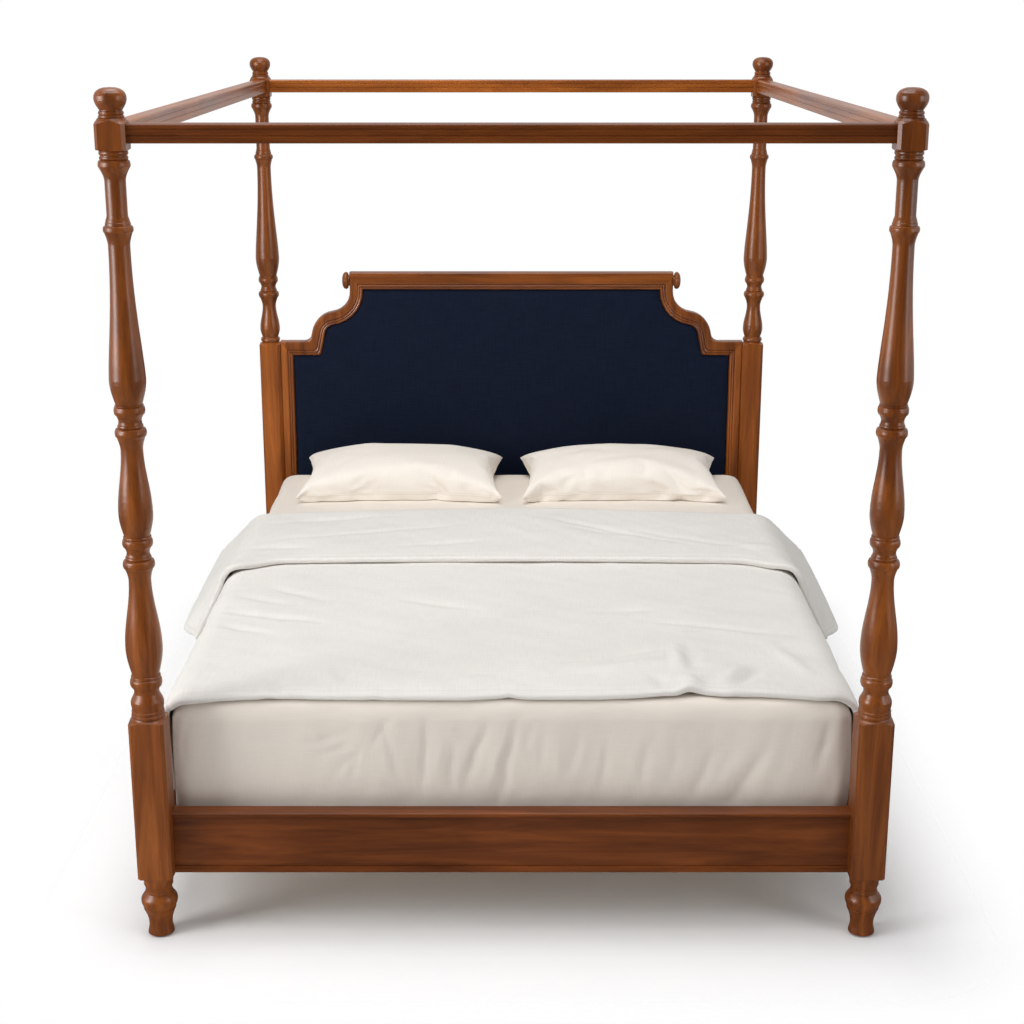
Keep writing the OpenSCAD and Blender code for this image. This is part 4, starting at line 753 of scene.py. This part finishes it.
def pillow(name, node, seed):
    """Two layers sewn round their edge. The lower layer is flat where it rests on the mattress."""
    low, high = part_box(node)
    mid = (low + high) / 2
    half_x, half_y = (high.x - low.x) / 2, (high.y - low.y) / 2
    count_x, count_y = 65, 45
    # The grid's lines crowd towards the seam, like a sine up to these angles
    crowd_x, crowd_y = 1.32, 1.25
    u = np.sin(np.linspace(-1, 1, count_x) * crowd_x) / np.sin(crowd_x)
    v = np.sin(np.linspace(-1, 1, count_y) * crowd_y) / np.sin(crowd_y)
    u, v = np.meshgrid(u, v, indexing="ij")
    inside, quads, quads_below = two_layers(count_x, count_y)
    faces = np.concatenate([quads, quads_below[:, ::-1]])
    flat = np.stack([CASE_X * u, CASE_Y * v], axis=-1)
    uneven = 1 + 0.25 * waves(flat[..., 0], flat[..., 1], seed, 8, 0.1, 0.4)
    start = CASE_START * (1 - u ** 4) * (1 - v ** 4) * uneven
    upper = np.concatenate([flat, start[..., None]], axis=-1)
    lower = np.concatenate([flat, -start[..., None]], axis=-1)
    moved = blown_up(np.concatenate([upper.reshape(-1, 3), lower[inside]]), faces)
    upper = moved[:count_x * count_y].reshape(count_x, count_y, 3)
    lower = upper.copy()
    lower[inside] = moved[count_x * count_y:]
    scale = np.array([half_x / np.abs(upper[..., 0]).max(), half_y / np.abs(upper[..., 1]).max(),
                      PILLOW_CROWN / upper[..., 2].max()])
    upper, lower = upper * scale, lower * scale
    x, y = upper[..., 0], upper[..., 1]
    upper[..., 2] += creases(x, y, PILLOW_CREASES[node]) * ease(upper[..., 2], 0.0, 0.03)
    seam = MATTRESS_TOP + 0.0003 + PILLOW_TALL * SEAM_SHARE
    upper[..., 2] += seam + PILLOW_LEAN * upper[..., 1]
    lower[..., 2] += seam + PILLOW_LEAN * lower[..., 1]
    lower[..., 2] = np.maximum(lower[..., 2], MATTRESS_TOP + 0.0006)
    points = np.concatenate([upper.reshape(-1, 3), lower[inside]]) + [mid.x, mid.y, 0]
    lengths = np.concatenate([flat.reshape(-1, 2), flat[inside] + [1.0, 0.0]])
    case = new_piece(name, points, faces, pillow_cotton, lengths)
    rounded = case.modifiers.new("rounded", "SUBSURF")
    rounded.levels = rounded.render_levels = 1
    return case


PILLOW_STITCHES = ((0, -CASE_X + 0.004), (0, CASE_X - 0.004), (1, -CASE_Y + 0.004), (1, CASE_Y - 0.004))
pillow_cotton = woven_cloth("pillow_cotton", paint(248, 241, 231), paint(241, 233, 222), 0.14, 0.12, 0.8,
                            hem_lines=PILLOW_STITCHES)
for name, node, seed in (("pillow_left_case", "pillow_left", 41), ("pillow_right_case", "pillow_right", 47)):
    case = pillow(name, node, seed)
    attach(case, node)
    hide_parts(node)


# Floor, light and camera

# Half width, half length and height of the box round the bed within which the floor stays solid
FOOTPRINT = (0.84, 1.12, 1.0)


def pale_floor():
    """Large pale disc with the object's shadow. Away from the bed's footprint it clears, for the camera
    only, so that it meets the white surround without an edge. Reflections see it darker."""
    floor = Finish("pale_floor")
    place = floor.place()
    beyond = floor.node("ShaderNodeVectorMath", {0: place}, operation="ABSOLUTE").outputs[0]
    beyond = floor.node("ShaderNodeVectorMath", {0: beyond, 1: FOOTPRINT}, operation="SUBTRACT").outputs[0]
    beyond = floor.node("ShaderNodeVectorMath", {0: beyond, 1: (0, 0, 0)}, operation="MAXIMUM").outputs[0]
    length = floor.node("ShaderNodeVectorMath", {0: beyond}, operation="LENGTH").outputs["Value"]
    path = floor.node("ShaderNodeLightPath", {})
    mottle = floor.noise(place, 2.0, 3.0)
    tone = floor.ramp(mottle, [(0.3, 0.95), (0.7, 0.97)])
    tone = floor.mix(tone, (0.12, 0.12, 0.12, 1.0), path.outputs["Is Glossy Ray"])
    floor.put(floor.surface.inputs["Base Color"], tone)
    floor.set(Roughness=0.9, Specular_IOR_Level=0.1)
    glow = floor.node("ShaderNodeEmission", {
        "Color": (1, 1, 1, 1), "Strength": floor.math("MULTIPLY", path.outputs["Is Camera Ray"], 0.05)})
    both = floor.node("ShaderNodeAddShader", {0: floor.surface.outputs[0], 1: glow.outputs[0]})
    clear = floor.node("ShaderNodeBsdfTransparent", {})
    far = floor.ramp(length, [(0.02, 0.0), (0.38, 1.0)])
    far.node.color_ramp.interpolation = "EASE"
    far = floor.math("MULTIPLY", far, path.outputs["Is Camera Ray"])
    shader = floor.node("ShaderNodeMixShader", {0: far, 1: both.outputs[0], 2: clear.outputs[0]})
    output = floor.tree.nodes["Material Output"]
    floor.put(output.inputs["Surface"], shader.outputs[0])
    spokes, rings = 96, 12
    angle = np.linspace(0, 2 * np.pi, spokes, endpoint=False)
    angle, reach = np.meshgrid(angle, np.linspace(0.001, 4.0, rings), indexing="ij")
    points = np.stack([reach * np.cos(angle), reach * np.sin(angle), np.zeros_like(reach)], axis=-1)
    faces = grid_quads(spokes, rings, wrap_rows=True)
    return new_piece("floor", points.reshape(-1, 3), faces, floor.material)


pale_floor()

# Strength of the world's own light, and of its reflections behind the bed and on the camera's side
AMBIENT = 0.25
REFLECTED_BEHIND = 0.60
REFLECTED_AHEAD = 0.04


def white_surround():
    """World that lights softly and looks white to the camera. In reflections it is bright behind the
    headboard and dim on the camera's side."""
    world = bpy.data.worlds.new("surround")
    bpy.context.scene.world = world
    world.use_nodes = True
    tree = world.node_tree
    shades = []
    for strength in (AMBIENT, 1.0, 1.0):
        shade = tree.nodes.new("ShaderNodeBackground")
        shade.inputs["Color"].default_value = (1, 1, 1, 1)
        shade.inputs["Strength"].default_value = strength
        shades.append(shade)
    axes = tree.nodes.new("ShaderNodeSeparateXYZ")
    tree.links.new(tree.nodes.new("ShaderNodeTexCoord").outputs["Generated"], axes.inputs[0])
    across = tree.nodes.new("ShaderNodeMapRange")
    span = (("From Min", -0.1), ("From Max", 0.5), ("To Min", REFLECTED_AHEAD), ("To Max", REFLECTED_BEHIND))
    for socket, value in span:
        across.inputs[socket].default_value = value
    tree.links.new(axes.outputs["Y"], across.inputs["Value"])
    tree.links.new(across.outputs[0], shades[1].inputs["Strength"])
    path = tree.nodes.new("ShaderNodeLightPath")
    either = tree.nodes.new("ShaderNodeMath")
    either.operation = "MAXIMUM"
    tree.links.new(path.outputs["Is Camera Ray"], either.inputs[0])
    tree.links.new(path.outputs["Is Transmission Ray"], either.inputs[1])
    shown = shades[0].outputs[0]
    for factor, shade in ((path.outputs["Is Glossy Ray"], shades[1]), (either.outputs[0], shades[2])):
        blend = tree.nodes.new("ShaderNodeMixShader")
        tree.links.new(factor, blend.inputs[0])
        tree.links.new(shown, blend.inputs[1])
        tree.links.new(shade.outputs[0], blend.inputs[2])
        shown = blend.outputs[0]
    tree.links.new(shown, tree.nodes["World Output"].inputs["Surface"])


white_surround()


def soft_light(name, place, target, width, height, watts, gloss_only=False):
    """Rectangular soft box at a place, turned towards a target; gloss_only keeps it to reflections."""
    lamp = bpy.data.lights.new(name, "AREA")
    lamp.shape = "RECTANGLE"
    lamp.size, lamp.size_y = width, height
    lamp.energy = watts
    holder = bpy.data.objects.new(name, lamp)
    holder.location = place
    holder.rotation_euler = (Vector(target) - Vector(place)).to_track_quat("-Z", "Y").to_euler()
    holder.visible_diffuse = not gloss_only
    bpy.context.scene.collection.objects.link(holder)


soft_light("top_light", (-0.4, -0.65, 4.9), (0, -0.1, 0.4), 3.6, 3.4, 150)
soft_light("left_box", (-3.55, -2.5, 1.9), (0, -0.5, 0.8), 1.3, 2.4, 77)
soft_light("right_box", (3.25, -2.8, 1.9), (0, -0.5, 0.8), 1.1, 2.4, 22)
soft_light("left_sheen", (-3.70, -2.35, 1.9), (-0.6, -0.9, 1.0), 3.2, 2.4, 74, gloss_only=True)
soft_light("right_sheen", (3.50, -1.70, 1.9), (0.6, -0.9, 1.0), 2.8, 2.4, 27, gloss_only=True)

camera = bpy.data.objects.new("camera", bpy.data.cameras.new("camera"))
camera.data.lens = 61.38
camera.data.sensor_width = 36.0
camera.data.shift_x = 0.00063
camera.data.clip_end = 60.0
camera.location = (0.0, -4.651809, 2.033549)
camera.rotation_euler = (np.radians(73.8573), 0.0, 0.0)
bpy.context.scene.collection.objects.link(camera)
bpy.context.scene.camera = camera
bpy.context.scene.view_settings.view_transform = "Standard"
